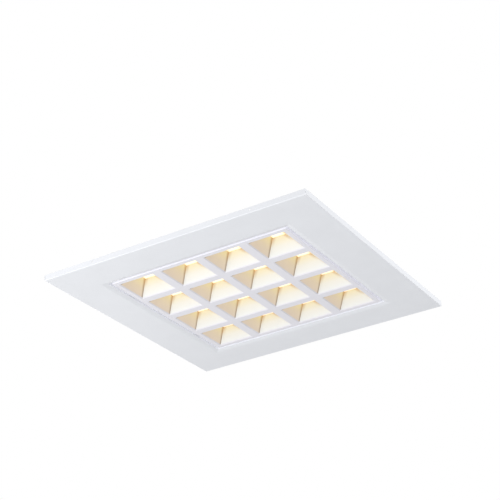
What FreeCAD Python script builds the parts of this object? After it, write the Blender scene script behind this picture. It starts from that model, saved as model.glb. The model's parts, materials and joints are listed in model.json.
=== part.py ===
"""Recessed troffer light for a 600 mm ceiling grid.

A pressed-steel frame lies on the grid with its face down. Behind it sit a back tray with the light
engine, and a wiring box. A louvre with four strips of reflector cells fills the opening, and it swings
down on two pins.
Millimetres, +Z up, origin at the middle of the face, on the plane that rests on the grid.
"""
import FreeCAD, Part
import math
import os
import re
import sys

import Sketcher
from FreeCAD import Placement, Rotation, Vector

doc = FreeCAD.newDocument("recessed_troffer")
X_AXIS = Vector(1, 0, 0)
Y_AXIS = Vector(0, 1, 0)
Z_AXIS = Vector(0, 0, 1)
ORIGIN = Vector(0, 0, 0)

# Driving dimensions: alias, value in millimetres (or degrees or a count), what it is
DIMENSIONS = [
    ("frame_width", 595, "outer side of the square front frame"),
    ("frame_sheet", 1, "steel sheet of the front frame"),
    ("flange_rise", 12.4, "height of the turned-up outer flange"),
    ("bend_round", 1.5, "outside radius of the flange bend"),
    ("seam_gap", 0.6, "open seam between two flanges at a corner"),
    ("seam_start", 2, "height where the corner seam starts"),
    ("flange_chamfer", 3, "cut corner at the end of a flange"),
    ("side_hole_dia", 3.8, "screw hole in the flange"),
    ("side_hole_reach", 179, "screw hole from the middle of the side"),
    ("side_hole_rise", 7, "screw hole above the face"),
    ("opening_width", 435, "opening in the flat face"),
    ("lip_run", 10.5, "width of the sloping lip round the opening"),
    ("lip_rise", 2.4, "depth of the sloping lip"),
    ("upstand_rise", 18, "top of the upstand round the opening"),
    ("cell_count", 4, "cells along each side of the louvre"),
    ("cell_pitch", 100.5, "from one cell to the next"),
    ("cell_mouth", 82.5, "open side of a cell at the front"),
    ("cell_inset", 27, "how far a cell wall leans in"),
    ("cell_depth", 27.5, "depth of a cell"),
    ("louvre_width", 402.6, "outer side of the louvre"),
    ("louvre_recess", 1.9, "louvre front above the face plane"),
    ("moulding", 1.8, "wall of the louvre moulding"),
    ("skirt_rise", 9, "side skirt of the louvre above its front"),
    ("hinge_notch", 9.5, "half of the notch in the skirt at a hinge"),
    ("rib_width", 1.5, "stiffening rib behind the bars"),
    ("strip_length", 387, "reflector strip along X"),
    ("strip_width", 97, "reflector strip along Y"),
    ("boss_gap", 0.4, "room between a reflector strip and a boss"),
    ("boss_dia", 7, "screw boss of the diffuser"),
    ("diffuser_width", 396, "side of the diffuser sheet"),
    ("diffuser_sheet", 2, "thickness of the diffuser sheet"),
    ("hinge_reach", 200.5, "louvre hinge axis from the middle"),
    ("hinge_rise", 7, "louvre hinge axis above the face plane"),
    ("hinge_spread", 120, "hinges and catches from the middle of the side"),
    ("hinge_pin_dia", 2.4, "louvre hinge pin"),
    ("hinge_bore_dia", 2.5, "hole for the louvre hinge pin"),
    ("eye_width", 6, "rolled eye of a hinge bracket along the pin"),
    ("bracket_sheet", 1.2, "steel sheet of a hinge bracket"),
    ("lug_width", 4, "moulded hinge lug along the pin"),
    ("lug_gap", 0.4, "room between a hinge eye and a lug"),
    ("catch_rise", 10, "underside of a catch case above the face plane"),
    ("catch_length", 14, "catch case along X"),
    ("catch_screw_inset", 4.5, "catch screw from the edge of the louvre"),
    ("catch_screw_reach", 10.5, "catch screw from the middle of the catch"),
    ("seat_width", 7.6, "catch seat along X"),
    ("bolt_travel", 3, "travel of a catch bolt"),
    ("bolt_width", 8, "nose of a catch bolt"),
    ("bolt_thick", 3.4, "thickness of a catch bolt"),
    ("tray_width", 448, "outer side of the back tray"),
    ("tray_sheet", 0.8, "steel sheet of the back tray and the wiring box"),
    ("tray_top", 46, "top of the back tray above the face plane"),
    ("tray_bend", 2, "outside radius of the tray's long bends"),
    ("foot_width", 480, "outer side of the foot flange of the tray"),
    ("stud_reach", 233, "welded studs from the middle"),
    ("stud_spread", 155, "welded studs along a side"),
    ("stud_dia", 4, "welded stud"),
    ("bead_reach", 92, "inner stiffening bead from the middle of the tray"),
    ("bead_gap", 52, "from the inner to the outer stiffening bead"),
    ("bead_length", 300, "length of a stiffening bead"),
    ("bead_rise", 2, "height of a stiffening bead"),
    ("vent_pitch", 50, "from one vent slot to the next"),
    ("vent_length", 24, "length of a vent slot"),
    ("vent_height", 30, "bottom of the vent slots above the face plane"),
    ("plate_length", 404, "heat spreader plate along X"),
    ("plate_width", 340, "heat spreader plate along Y"),
    ("plate_sheet", 1.5, "thickness of the heat spreader plate"),
    ("plate_screw_reach", 190, "screws of the heat spreader from the middle along X"),
    ("board_length", 394, "length of a light board"),
    ("board_width", 26, "width of a light board"),
    ("board_sheet", 1.6, "thickness of a light board"),
    ("chip_side", 13, "side of a light chip"),
    ("chip_rise", 1, "height of a light chip"),
    ("link_reach", 185, "link connectors from the middle"),
    ("lead_hole_reach", 125, "lead hole from the middle along X"),
    ("grommet_neck_dia", 9, "neck of the lead's grommet"),
    ("box_length", 310, "length of the wiring box"),
    ("box_width", 104, "width of the wiring box"),
    ("box_rise", 36, "height of the wiring box"),
    ("box_screw_reach", 140, "screws of the box from the middle along X"),
    ("box_screw_spread", 25, "screws of the box from the middle along Y"),
    ("cover_gap", 0.4, "room between the cover and the box"),
    ("cover_skirt", 9, "turned-down edge of the cover"),
    ("cover_pin_dia", 2, "pin of the cover hinge"),
    ("knuckle_length", 20, "hinge eye of the cover along its pin"),
    ("knuckle_round", 2.2, "outer radius of a hinge eye of the cover"),
    ("driver_reach", 95, "far end of the driver from the middle along X"),
    ("driver_length", 150, "length of the driver with its end caps"),
    ("cap_length", 8, "end cap of the driver"),
    ("driver_width", 52, "width of the driver case"),
    ("driver_rise", 28, "height of the driver case"),
    ("driver_port_spread", 8, "lead ports of the driver from its middle"),
    ("block_reach", 105, "terminal block from the middle, towards -X"),
    ("block_rise", 18, "height of the terminal block"),
    ("block_screw_reach", 23.5, "screws of the terminal block from its middle"),
    ("terminal_pitch", 12, "from one terminal to the next"),
    ("terminal_spread", 7, "terminal screw from the middle of the block"),
    ("earth_reach", 75, "earth screw from the middle, towards -X"),
    ("earth_spread", 38, "earth screw from the middle along Y"),
    ("lead_port", 3, "square port for a lead"),
    ("entry_pitch", 30, "from the cable entry to the spare one"),
    ("entry_bore_dia", 9, "cable hole of the entry grommet"),
    ("entry_neck_dia", 16, "hole in the box for an entry grommet"),
    ("eye_reach_x", 195, "suspension hole from the middle along X"),
    ("eye_reach_y", 195, "suspension hole from the middle along Y"),
    ("eye_rise", 12, "underside of a suspension tab above the tray"),
    ("eye_hole_dia", 5, "suspension hole"),
]

sheet = doc.addObject("Spreadsheet::Sheet", "Sizes")
for row, (alias, value, meaning) in enumerate(DIMENSIONS, start=1):
    sheet.set(f"A{row}", meaning)
    sheet.set(f"B{row}", str(value))
    sheet.setAlias(f"B{row}", alias)
doc.recompute()
SHEET_WORDS = {alias: f"Sizes.{alias}" for alias, _, _ in DIMENSIONS}


def size(alias):
    """Value of one driving dimension, read back from the sheet."""
    return float(sheet.get(alias))


def expand(text):
    """Turn an expression that names aliases into one that points at the sheet."""
    return re.sub(r"[a-z][a-z_]+", lambda match: SHEET_WORDS.get(match[0], match[0]), text)


def value(text):
    """Number that an expression gives now."""
    return float(sheet.evalExpression(expand(text)))


def bind(feature, **expressions):
    """Tie properties of a feature to the sheet."""
    for name, text in expressions.items():
        feature.setExpression(name, expand(text))


def place(feature, x, y, z):
    """Tie the base point of a feature to the sheet."""
    for axis, text in zip("xyz", (x, y, z)):
        feature.setExpression(f"Placement.Base.{axis}", expand(text))


# Sketches and features of a body


def new_body(label):
    """Body of one sub-part. Its label names the file."""
    body = doc.addObject("PartDesign::Body", label)
    body.Label = label
    return body


def origin_of(body, role):
    """Origin plane or axis of a body."""
    return next(item for item in body.Origin.OriginFeatures if item.Role == role)


def sketch_on(body, name, offset="0", plane="XY_Plane"):
    """Empty sketch on an origin plane, moved along the plane's normal."""
    sketch = body.newObject("Sketcher::SketchObject", name)
    sketch.AttachmentSupport = [(origin_of(body, plane), "")]
    sketch.MapMode = "FlatFace"
    sketch.setExpression("AttachmentOffset.Base.z", expand(offset))
    return sketch


def hold(sketch, kind, text, *points):
    """Dimension whose value is an expression."""
    number = sketch.addConstraint(Sketcher.Constraint(kind, *points, value(text)))
    sketch.setExpression(f"Constraints[{number}]", expand(text))


def add_outline(sketch, *corners):
    """Closed outline of straight sides through corners given as expressions."""
    first = sketch.GeometryCount
    points = [Vector(value(x), value(y), 0) for x, y in corners]
    count = len(points)
    for index, point in enumerate(points):
        sketch.addGeometry(Part.LineSegment(point, points[(index + 1) % count]))
    for index, (x, y) in enumerate(corners):
        side = first + index
        following = first + (index + 1) % count
        sketch.addConstraint(Sketcher.Constraint("Coincident", side, 2, following, 1))
        hold(sketch, "DistanceX", x, -1, 1, side, 1)
        hold(sketch, "DistanceY", y, -1, 1, side, 1)


def add_rectangle(sketch, left, right, bottom, top):
    """Rectangle between four expressions."""
    add_outline(sketch, (left, bottom), (right, bottom), (right, top), (left, top))


def add_square(sketch, half):
    """Square about the middle."""
    add_rectangle(sketch, f"-({half})", half, f"-({half})", half)


def add_circle(sketch, x, y, radius):
    """Circle whose middle and radius are expressions."""
    middle = Vector(value(x), value(y), 0)
    circle = sketch.addGeometry(Part.Circle(middle, Z_AXIS, value(radius)))
    hold(sketch, "DistanceX", x, -1, 1, circle, 3)
    hold(sketch, "DistanceY", y, -1, 1, circle, 3)
    hold(sketch, "Radius", radius, circle)


def pad(body, name, sketch, length):
    """Raise a sketch along its plane's normal."""
    feature = body.newObject("PartDesign::Pad", name)
    feature.Profile = sketch
    bind(feature, Length=length)
    return feature


def pocket(body, name, sketch, length, along_normal=True):
    """Cut a sketch along its plane's normal, or against it."""
    feature = body.newObject("PartDesign::Pocket", name)
    feature.Profile = sketch
    feature.Reversed = along_normal
    bind(feature, Length=length)
    return feature


def square_taper(body, name, kind, low_half, low, high_half, high, middle=("0", "0")):
    """Frustum between two squares at two heights, added or cut, about a middle."""
    feature = body.newObject(f"PartDesign::{kind}Wedge", name)
    feature.AttachmentSupport = [(origin_of(body, "XY_Plane"), "")]
    feature.MapMode = "FlatFace"
    feature.AttachmentOffset = Placement(ORIGIN, Rotation(X_AXIS, 90))
    for axis in "XZ":
        bind(feature, **{f"{axis}min": f"-({low_half})", f"{axis}max": low_half,
                         f"{axis}2min": f"-({high_half})", f"{axis}2max": high_half})
    bind(feature, Ymin="0", Ymax=f"({high}) - ({low})")
    for axis, text in zip("xyz", (*middle, low)):
        feature.setExpression(f"AttachmentOffset.Base.{axis}", expand(text))
    return feature


def polar(body, name, originals, count):
    """Repeat features around the vertical axis."""
    pattern = body.newObject("PartDesign::PolarPattern", name)
    pattern.Originals = originals
    pattern.Axis = (origin_of(body, "Z_Axis"), [""])
    pattern.Angle = 360
    pattern.Occurrences = count
    body.Tip = pattern
    return pattern


def grid(body, name, originals, along, count, length, across=None, rows="1", spread="0"):
    """Repeat features along one axis, and along a second one where it is given."""
    pattern = body.newObject("PartDesign::LinearPattern", name)
    pattern.Originals = originals
    pattern.Direction = (origin_of(body, along), [""])
    bind(pattern, Occurrences=count, Length=length)
    if across:
        pattern.Direction2 = (origin_of(body, across), [""])
        bind(pattern, Occurrences2=rows, Length2=spread)
    body.Tip = pattern
    return pattern


def edges_where(feature, test):
    """Names of the edges whose middle and direction pass a test."""
    doc.recompute()
    names = []
    for number, edge in enumerate(feature.Shape.Edges, start=1):
        middle = edge.valueAt((edge.FirstParameter + edge.LastParameter) / 2)
        direction = (edge.Vertexes[-1].Point - edge.Vertexes[0].Point)
        if direction.Length > 0 and test(middle, direction.normalize()):
            names.append(f"Edge{number}")
    return names


def fillet(body, name, feature, radius, test):
    """Round the edges of a feature that pass a test."""
    rounding = body.newObject("PartDesign::Fillet", name)
    rounding.Base = (feature, edges_where(feature, test))
    bind(rounding, Radius=radius)
    return rounding


def near(one, other):
    """Two lengths are the same within a hundredth of a millimetre."""
    return abs(one - other) < 0.01


def upright(direction):
    """A direction is vertical."""
    return abs(direction.z) > 0.99


def along_x_at(text):
    """Test for the edges along X at a height."""
    level = value(text)
    return lambda middle, direction: near(middle.z, level) and abs(direction.x) > 0.99


# Primitives and booleans

TURNS = {
    "X": Rotation(Y_AXIS, 90),
    "Y": Rotation(X_AXIS, -90),
    "Z": Rotation(),
}


def block(name, x, y, z):
    """Box between two expressions on each axis."""
    feature = doc.addObject("Part::Box", name)
    for side, (low, high) in zip(("Length", "Width", "Height"), (x, y, z)):
        feature.setExpression(side, expand(f"({high}) - ({low})"))
    place(feature, x[0], y[0], z[0])
    return feature


def rod(name, along, radius, start, length):
    """Cylinder from a start point along an axis."""
    feature = doc.addObject("Part::Cylinder", name)
    feature.Placement = Placement(ORIGIN, TURNS[along])
    bind(feature, Radius=radius, Height=length)
    place(feature, *start)
    return feature


def fuse(name, shapes):
    """One solid of several shapes."""
    feature = doc.addObject("Part::MultiFuse", name)
    feature.Shapes = shapes
    feature.Refine = True
    return feature


def cut(name, base, tools):
    """A shape less one or more tools."""
    feature = doc.addObject("Part::Cut", name)
    feature.Base = base
    feature.Tool = tools[0] if len(tools) == 1 else fuse(f"{name}_tools", tools)
    feature.Refine = True
    return feature


def group(name, shapes):
    """Like pieces that share a node as separate solids."""
    feature = doc.addObject("Part::Compound", name)
    feature.Links = shapes
    feature.Label = name
    return feature


def chamfered(name, base, distance, test):
    """A shape with the edges that pass a test cut back evenly."""
    feature = doc.addObject("Part::Chamfer", name)
    feature.Base = base
    numbers = [int(edge[4:]) for edge in edges_where(base, test)]
    feature.Edges = [(number, value(distance), value(distance)) for number in numbers]
    return feature


def plus_minus(text):
    """An expression and its negative."""
    return (f"-({text})", text)


def ordered(side, inner, outer):
    """Low and high end of a span at the positive side, or of its mirror image at the negative one."""
    if side > 0:
        return (inner, outer)
    return (f"-({outer})", f"-({inner})")


def down_screw(name, x, y, top, head, head_rise, shank, tip):
    """Pan screw whose head stands on the height top, with its tip below."""
    crown = rod(f"{name}_head", "Z", head, (x, y, top), head_rise)
    stem = rod(f"{name}_stem", "Z", shank, (x, y, tip), f"({top}) - ({tip})")
    return fuse(name, [crown, stem])


def up_screw(name, x, y, under, head, head_rise, shank, tip):
    """Pan screw whose head hangs under the height under, with its tip above."""
    crown = rod(f"{name}_head", "Z", head, (x, y, f"({under}) - ({head_rise})"), head_rise)
    stem = rod(f"{name}_stem", "Z", shank, (x, y, under), f"({tip}) - ({under})")
    return fuse(name, [crown, stem])


def bent_tube(name, radius, bends, points):
    """Lead of round section along straight runs joined by tangent bends, one at each inner point."""
    pieces = []
    length = 0
    start = points[0]
    for before, corner, after, bend in zip(points, points[1:], points[2:], bends):
        incoming = (corner - before).normalize()
        outgoing = (after - corner).normalize()
        turn = incoming.getAngle(outgoing)
        reach = bend * math.tan(turn / 2)
        first = corner - incoming * reach
        run = (first - start).Length
        pieces.append(Part.makeCylinder(radius, run, start, incoming))
        axis = incoming.cross(outgoing).normalize()
        section = Part.Face(Part.Wire(Part.makeCircle(radius, first, incoming)))
        pieces.append(section.revolve(first + axis.cross(incoming) * bend, axis, math.degrees(turn)))
        length += run + bend * turn
        start = corner + outgoing * reach
    run = (points[-1] - start).Length
    pieces.append(Part.makeCylinder(radius, run, start, outgoing))
    length += run
    feature = doc.addObject("Part::Feature", name)
    feature.Shape = pieces[0].multiFuse(pieces[1:]).Solids[0]
    filled = feature.Shape.Volume / (math.pi * radius ** 2 * length)
    print(f"{name}: {length:.1f} mm long, bends {bends} mm, volume as expected x {filled:.3f}")
    return feature


PARTS = {}


def keep(label, feature):
    """Name a finished sub-part and list it for export."""
    feature.Label = label
    PARTS[label] = feature


# Places that several sub-parts share

FRAME_HALF = "frame_width / 2"
OPENING_HALF = "opening_width / 2"
THROAT_HALF = "(opening_width / 2 - lip_run)"
LOUVRE_HALF = "louvre_width / 2"
STRIP_UNDER = "(louvre_recess + moulding)"
CELL_TOP = "(louvre_recess + cell_depth)"
DIFFUSER_TOP = "(louvre_recess + cell_depth + diffuser_sheet)"
FIRST_CELL = "(-(cell_count - 1) * cell_pitch / 2)"
CELL_SPREAD = "((cell_count - 1) * cell_pitch)"
CELL_PLACES = [f"({FIRST_CELL} + {number} * cell_pitch)" for number in range(4)]
BAR_PLACES = ["-cell_pitch", "0", "cell_pitch"]
SIDE_PLACES = plus_minus("hinge_spread")
HINGE_ROUND = "(hinge_pin_dia / 2 + 1.4)"
RIVET_RISE = "(hinge_rise + 7.3)"
RIVET_SIDES = ("-5", "5")
CATCH_BACK = "(louvre_width / 2 - catch_length)"
CATCH_SCREW_X = "(louvre_width / 2 - catch_screw_inset)"
CATCH_SCREW_SIDES = plus_minus("catch_screw_reach")
CATCH_SCREW_DEPTH = "5.5"
TRAY_HALF = "tray_width / 2"
TRAY_UNDER = "(tray_top - tray_sheet)"
PLATE_UNDER = "(tray_top - tray_sheet - plate_sheet)"
BOARD_UNDER = "(tray_top - tray_sheet - plate_sheet - board_sheet)"
STUD_PLACES = ["-stud_spread", "0", "stud_spread"]
BEAD_PLACES = plus_minus("bead_reach") + plus_minus("bead_reach + bead_gap")
PLATE_SCREW_PLACES = [(x, y) for x in plus_minus("plate_screw_reach") for y in BAR_PLACES]
LINK_SIDES = [(-1,), (-1, 1), (-1, 1), (-1,)]
BOX_FLOOR = "(tray_top + tray_sheet)"
BOX_TOP = "(tray_top + box_rise)"
BOX_SCREW_PLACES = [(x, y) for x in plus_minus("box_screw_reach")
                    for y in plus_minus("box_screw_spread")]
COVER_AXIS_Y = "(box_width / 2 + 2.6)"
COVER_AXIS_Z = "(tray_top + box_rise - 1.2)"
DRIVER_LEFT = "(driver_reach - driver_length)"
DRIVER_RIGHT = "driver_reach"
DRIVER_PORT_Z = "(tray_top + tray_sheet + 13)"
BLOCK_X = "(-block_reach)"
BLOCK_PORT_Z = "(tray_top + tray_sheet + 7)"
TERMINAL_PLACES = ("-terminal_pitch", "0", "terminal_pitch")
TERMINAL_SIDES = plus_minus("terminal_spread")
GEAR_SCREW_PLACES = [(f"({DRIVER_LEFT} - 4)", "0"), (f"({DRIVER_RIGHT} + 4)", "0"),
                     (BLOCK_X, "-block_screw_reach"), (BLOCK_X, "block_screw_reach")]
EARTH_PLACE = ("(-earth_reach)", "earth_spread")
EARTH_LEAD_Z = "(tray_top + tray_sheet + 2)"
ENTRY_PLACES = ("0", "entry_pitch")
ENTRY_RISE = "(tray_top + tray_sheet + 14)"
EYE_SIDES = [(x, y) for x in (-1, 1) for y in (-1, 1)]
EYE_RIVET_PLACES = [(f"{x} * (eye_reach_x - {inset})", f"{y} * eye_reach_y")
                    for x, y in EYE_SIDES for inset in (16, 24)]


def front_frame():
    """Pressed sheet with a flat face, turned-up flanges, a sloping lip and an upstand behind it."""
    body = new_body("front_frame")
    face = sketch_on(body, "face_outline")
    add_square(face, FRAME_HALF)
    pad(body, "face", face, "frame_sheet")
    rim = sketch_on(body, "flange_outline")
    add_square(rim, FRAME_HALF)
    add_square(rim, f"{FRAME_HALF} - frame_sheet")
    pad(body, "flange", rim, "flange_rise")
    wall = sketch_on(body, "upstand_outline")
    add_square(wall, f"{THROAT_HALF} + frame_sheet")
    pad(body, "upstand", wall, "upstand_rise")
    square_taper(body, "lip_back", "Additive", OPENING_HALF, "frame_sheet",
                 f"{THROAT_HALF} + frame_sheet",
                 "frame_sheet + lip_rise * (lip_run - frame_sheet) / lip_run")
    square_taper(body, "lip_front", "Subtractive", OPENING_HALF, "0", THROAT_HALF, "lip_rise")
    throat = sketch_on(body, "throat_outline", "lip_rise")
    add_square(throat, THROAT_HALF)
    opened = pocket(body, "throat", throat, "upstand_rise")
    half = size("frame_width") / 2
    inner = half - size("frame_sheet")

    def outer_bend(middle, direction):
        return near(middle.z, 0) and near(max(abs(middle.x), abs(middle.y)), half)

    def inner_bend(middle, direction):
        return near(middle.z, size("frame_sheet")) and near(max(abs(middle.x), abs(middle.y)), inner)

    outside = fillet(body, "outer_bends", opened, "bend_round", outer_bend)
    fillet(body, "inner_bends", outside, "bend_round - frame_sheet", inner_bend)
    cut_side_holes(body)
    cut_corner_seams(body)
    cut_upstand_holes(body)
    keep("front_frame", body)


def cut_side_holes(body):
    """Two screw holes in the flanges that face -Y and +Y."""
    holes = sketch_on(body, "side_hole_outline", f"{FRAME_HALF} - 2 * frame_sheet", "XZ_Plane")
    for reach in plus_minus("side_hole_reach"):
        add_circle(holes, reach, "side_hole_rise", "side_hole_dia / 2")
    drilled = pocket(body, "side_holes", holes, "3 * frame_sheet")
    polar(body, "side_holes_both", [drilled], 2)


def cut_corner_seams(body):
    """Open seam and cut corner where each flange ends against the next."""
    inner = f"({FRAME_HALF} - frame_sheet)"
    seam = sketch_on(body, "seam_outline", "seam_start")
    add_rectangle(seam, f"{inner} - 0.5", f"{FRAME_HALF} + 1", f"-{inner}", f"-{inner} + seam_gap")
    slit = pocket(body, "seam", seam, "flange_rise")
    corner = sketch_on(body, "corner_outline", f"{inner} - 0.5", "YZ_Plane")
    edge = f"(-{inner} + seam_gap / 2)"
    add_outline(corner, (edge, "flange_rise - flange_chamfer"), (edge, "flange_rise + 1"),
                (f"{edge} + flange_chamfer + 1", "flange_rise + 1"))
    notch = pocket(body, "cut_corner", corner, "frame_sheet + 1")
    polar(body, "all_corners", [slit, notch], 4)


def cut_upstand_holes(body):
    """Keeper slots for the catches at +X and rivet holes of the hinge brackets at -X."""
    slots = sketch_on(body, "keeper_outline", f"{THROAT_HALF} - 1", "YZ_Plane")
    for middle in SIDE_PLACES:
        half = "(bolt_width / 2 + 1)"
        add_rectangle(slots, f"{middle} - {half}", f"{middle} + {half}",
                      "catch_rise + 1", "catch_rise + 5.6")
    pocket(body, "keeper_slots", slots, "frame_sheet + 2")
    rivets = sketch_on(body, "rivet_outline", f"-{THROAT_HALF} - frame_sheet - 1", "YZ_Plane")
    for middle in SIDE_PLACES:
        for side in RIVET_SIDES:
            add_circle(rivets, f"{middle} + {side}", RIVET_RISE, "1.6")
    pocket(body, "rivet_holes", rivets, "frame_sheet + 2")


def louvre():
    """Moulded front grid with side skirts, ribs, hinge lugs, catch seats and bosses."""
    body = new_body("louvre")
    front = sketch_on(body, "front_outline", "louvre_recess")
    add_square(front, LOUVRE_HALF)
    pad(body, "front", front, "moulding")
    add_louvre_skirts(body)
    add_louvre_ribs(body)
    add_hinge_lugs(body)
    add_catch_seats(body)
    add_diffuser_bosses(body)
    mouth = square_taper(body, "cell_mouth", "Subtractive", "cell_mouth / 2", "louvre_recess",
                         "cell_mouth / 2 - cell_inset", CELL_TOP, (FIRST_CELL, FIRST_CELL))
    grid(body, "cell_mouths", [mouth], "X_Axis", "cell_count", CELL_SPREAD,
         "Y_Axis", "cell_count", CELL_SPREAD)
    keep("louvre", body)


def add_louvre_skirts(body):
    """Skirt along each side. Those at the ends stop under the catches and leave room for the hinges."""
    inner = f"({LOUVRE_HALF} - moulding)"
    skirts = sketch_on(body, "skirt_outline", "louvre_recess")
    add_rectangle(skirts, *plus_minus(LOUVRE_HALF), inner, LOUVRE_HALF)
    add_rectangle(skirts, *plus_minus(LOUVRE_HALF), f"-({LOUVRE_HALF})", f"-{inner}")
    pad(body, "skirts", skirts, "skirt_rise")
    ends = sketch_on(body, "end_skirt_outline", "louvre_recess")
    add_rectangle(ends, inner, LOUVRE_HALF, *plus_minus(f"{LOUVRE_HALF} - moulding / 2"))
    past, short = "(hinge_spread + hinge_notch)", "(hinge_spread - hinge_notch)"
    for low, high in (plus_minus(short), (past, f"{LOUVRE_HALF} - moulding / 2"),
                      (f"-({LOUVRE_HALF} - moulding / 2)", f"-{past}")):
        add_rectangle(ends, f"-({LOUVRE_HALF})", f"-{inner}", low, high)
    pad(body, "end_skirts", ends, "catch_rise - louvre_recess")


def add_louvre_ribs(body):
    """Stiffening ribs along X behind the bars between the rows of cells."""
    ribs = sketch_on(body, "rib_outline", "louvre_recess")
    for middle in BAR_PLACES:
        add_rectangle(ribs, *plus_minus(f"{LOUVRE_HALF} - moulding / 2"),
                      f"{middle} - rib_width / 2", f"{middle} + rib_width / 2")
    pad(body, "ribs", ribs, "skirt_rise")


def add_hinge_lugs(body):
    """Two pairs of lugs for the hinge pins, each with a bore along Y."""
    offset = "hinge_spread + eye_width / 2 + lug_gap"
    side = sketch_on(body, "lug_outline", offset, "XZ_Plane")
    add_rectangle(side, "-hinge_reach", "-hinge_reach + 6", "louvre_recess + moulding / 2",
                  f"hinge_rise + {HINGE_ROUND}")
    lug = pad(body, "lug", side, "lug_width")
    nose = sketch_on(body, "lug_nose_outline", offset, "XZ_Plane")
    add_circle(nose, "-hinge_reach", "hinge_rise", HINGE_ROUND)
    rounded = pad(body, "lug_nose", nose, "lug_width")
    bore = sketch_on(body, "lug_bore_outline", offset, "XZ_Plane")
    add_circle(bore, "-hinge_reach", "hinge_rise", "hinge_bore_dia / 2")
    drilled = pocket(body, "lug_bore", bore, "lug_width")
    grid(body, "lugs", [lug, rounded, drilled], "Y_Axis", "2", "eye_width + 2 * lug_gap + lug_width",
         "Y_Axis", "2", "2 * hinge_spread")


def add_catch_seats(body):
    """Raised seats for the two catches, with pilot holes for their screws."""
    seats = sketch_on(body, "catch_seat_outline", "louvre_recess")
    for middle in SIDE_PLACES:
        add_rectangle(seats, f"{LOUVRE_HALF} - seat_width", LOUVRE_HALF,
                      f"{middle} - 14", f"{middle} + 14")
    pad(body, "catch_seats", seats, "catch_rise - louvre_recess")
    pilots = sketch_on(body, "catch_pilot_outline", f"catch_rise - {CATCH_SCREW_DEPTH} - 0.5")
    for middle in SIDE_PLACES:
        for side in CATCH_SCREW_SIDES:
            add_circle(pilots, CATCH_SCREW_X, f"{middle} + {side}", "1.15")
    pocket(body, "catch_pilots", pilots, f"{CATCH_SCREW_DEPTH} + 1")


def add_diffuser_bosses(body):
    """Nine posts where the bars cross, drilled for the diffuser's screws."""
    boss = sketch_on(body, "boss_outline", "louvre_recess")
    add_circle(boss, "-cell_pitch", "-cell_pitch", "boss_dia / 2")
    post = pad(body, "boss", boss, "cell_depth")
    pilot = sketch_on(body, "boss_pilot_outline", f"{CELL_TOP} - 10")
    add_circle(pilot, "-cell_pitch", "-cell_pitch", "1.25")
    drilled = pocket(body, "boss_pilot", pilot, "11")
    grid(body, "bosses", [post, drilled], "X_Axis", "3", "2 * cell_pitch",
         "Y_Axis", "3", "2 * cell_pitch")


def reflector_strips():
    """Four strips of four pyramid cells, clamped between the louvre's grid and the diffuser."""
    wall = "moulding * sqrt(1 + (cell_inset / cell_depth) ^ 2)"
    mouth = "(cell_mouth / 2 - moulding * cell_inset / cell_depth)"
    neck = "(cell_mouth / 2 - cell_inset)"
    for row, y in enumerate(CELL_PLACES, start=1):
        body = new_body(f"reflector_strip_{row}")
        web = sketch_on(body, "web_outline", STRIP_UNDER)
        add_rectangle(web, *plus_minus("strip_length / 2"),
                      f"{y} - strip_width / 2", f"{y} + strip_width / 2")
        pad(body, "web", web, "moulding")
        ribs = sketch_on(body, "cross_rib_outline", STRIP_UNDER)
        for x in BAR_PLACES:
            add_rectangle(ribs, f"{x} - rib_width / 2", f"{x} + rib_width / 2",
                          f"{y} - strip_width / 2 + boss_dia", f"{y} + strip_width / 2 - boss_dia")
        pad(body, "cross_ribs", ribs, "skirt_rise - moulding")
        outside = square_taper(body, "cell_outside", "Additive", f"{mouth} + {wall}", STRIP_UNDER,
                               f"{neck} + {wall}", CELL_TOP, (FIRST_CELL, y))
        inside = square_taper(body, "cell_inside", "Subtractive", mouth, STRIP_UNDER, neck,
                              CELL_TOP, (FIRST_CELL, y))
        grid(body, "cells", [outside, inside], "X_Axis", "cell_count", CELL_SPREAD)
        notches = sketch_on(body, "notch_outline", STRIP_UNDER)
        for x in BAR_PLACES:
            for bar in BAR_PLACES[max(row - 2, 0):row]:
                add_circle(notches, x, bar, "boss_dia / 2 + boss_gap")
        pocket(body, "notches", notches, "skirt_rise")
        keep(f"reflector_strip_{row}", body)


def diffuser():
    """Opal sheet on the tops of the cells, and the screws that hold it."""
    body = new_body("diffuser")
    outline = sketch_on(body, "sheet_outline", CELL_TOP)
    add_square(outline, "diffuser_width / 2")
    pad(body, "opal_sheet", outline, "diffuser_sheet")
    hole = sketch_on(body, "hole_outline", CELL_TOP)
    add_circle(hole, "-cell_pitch", "-cell_pitch", "1.7")
    drilled = pocket(body, "hole", hole, "diffuser_sheet")
    grid(body, "holes", [drilled], "X_Axis", "3", "2 * cell_pitch", "Y_Axis", "3", "2 * cell_pitch")
    keep("diffuser", body)
    screws = []
    for x in BAR_PLACES:
        for y in BAR_PLACES:
            name = f"diffuser_screw_{len(screws) + 1}"
            screws.append(down_screw(name, x, y, DIFFUSER_TOP, "3", "2", "1.2", f"{CELL_TOP} - 8"))
    keep("diffuser_screws", group("diffuser_screws", screws))


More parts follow.
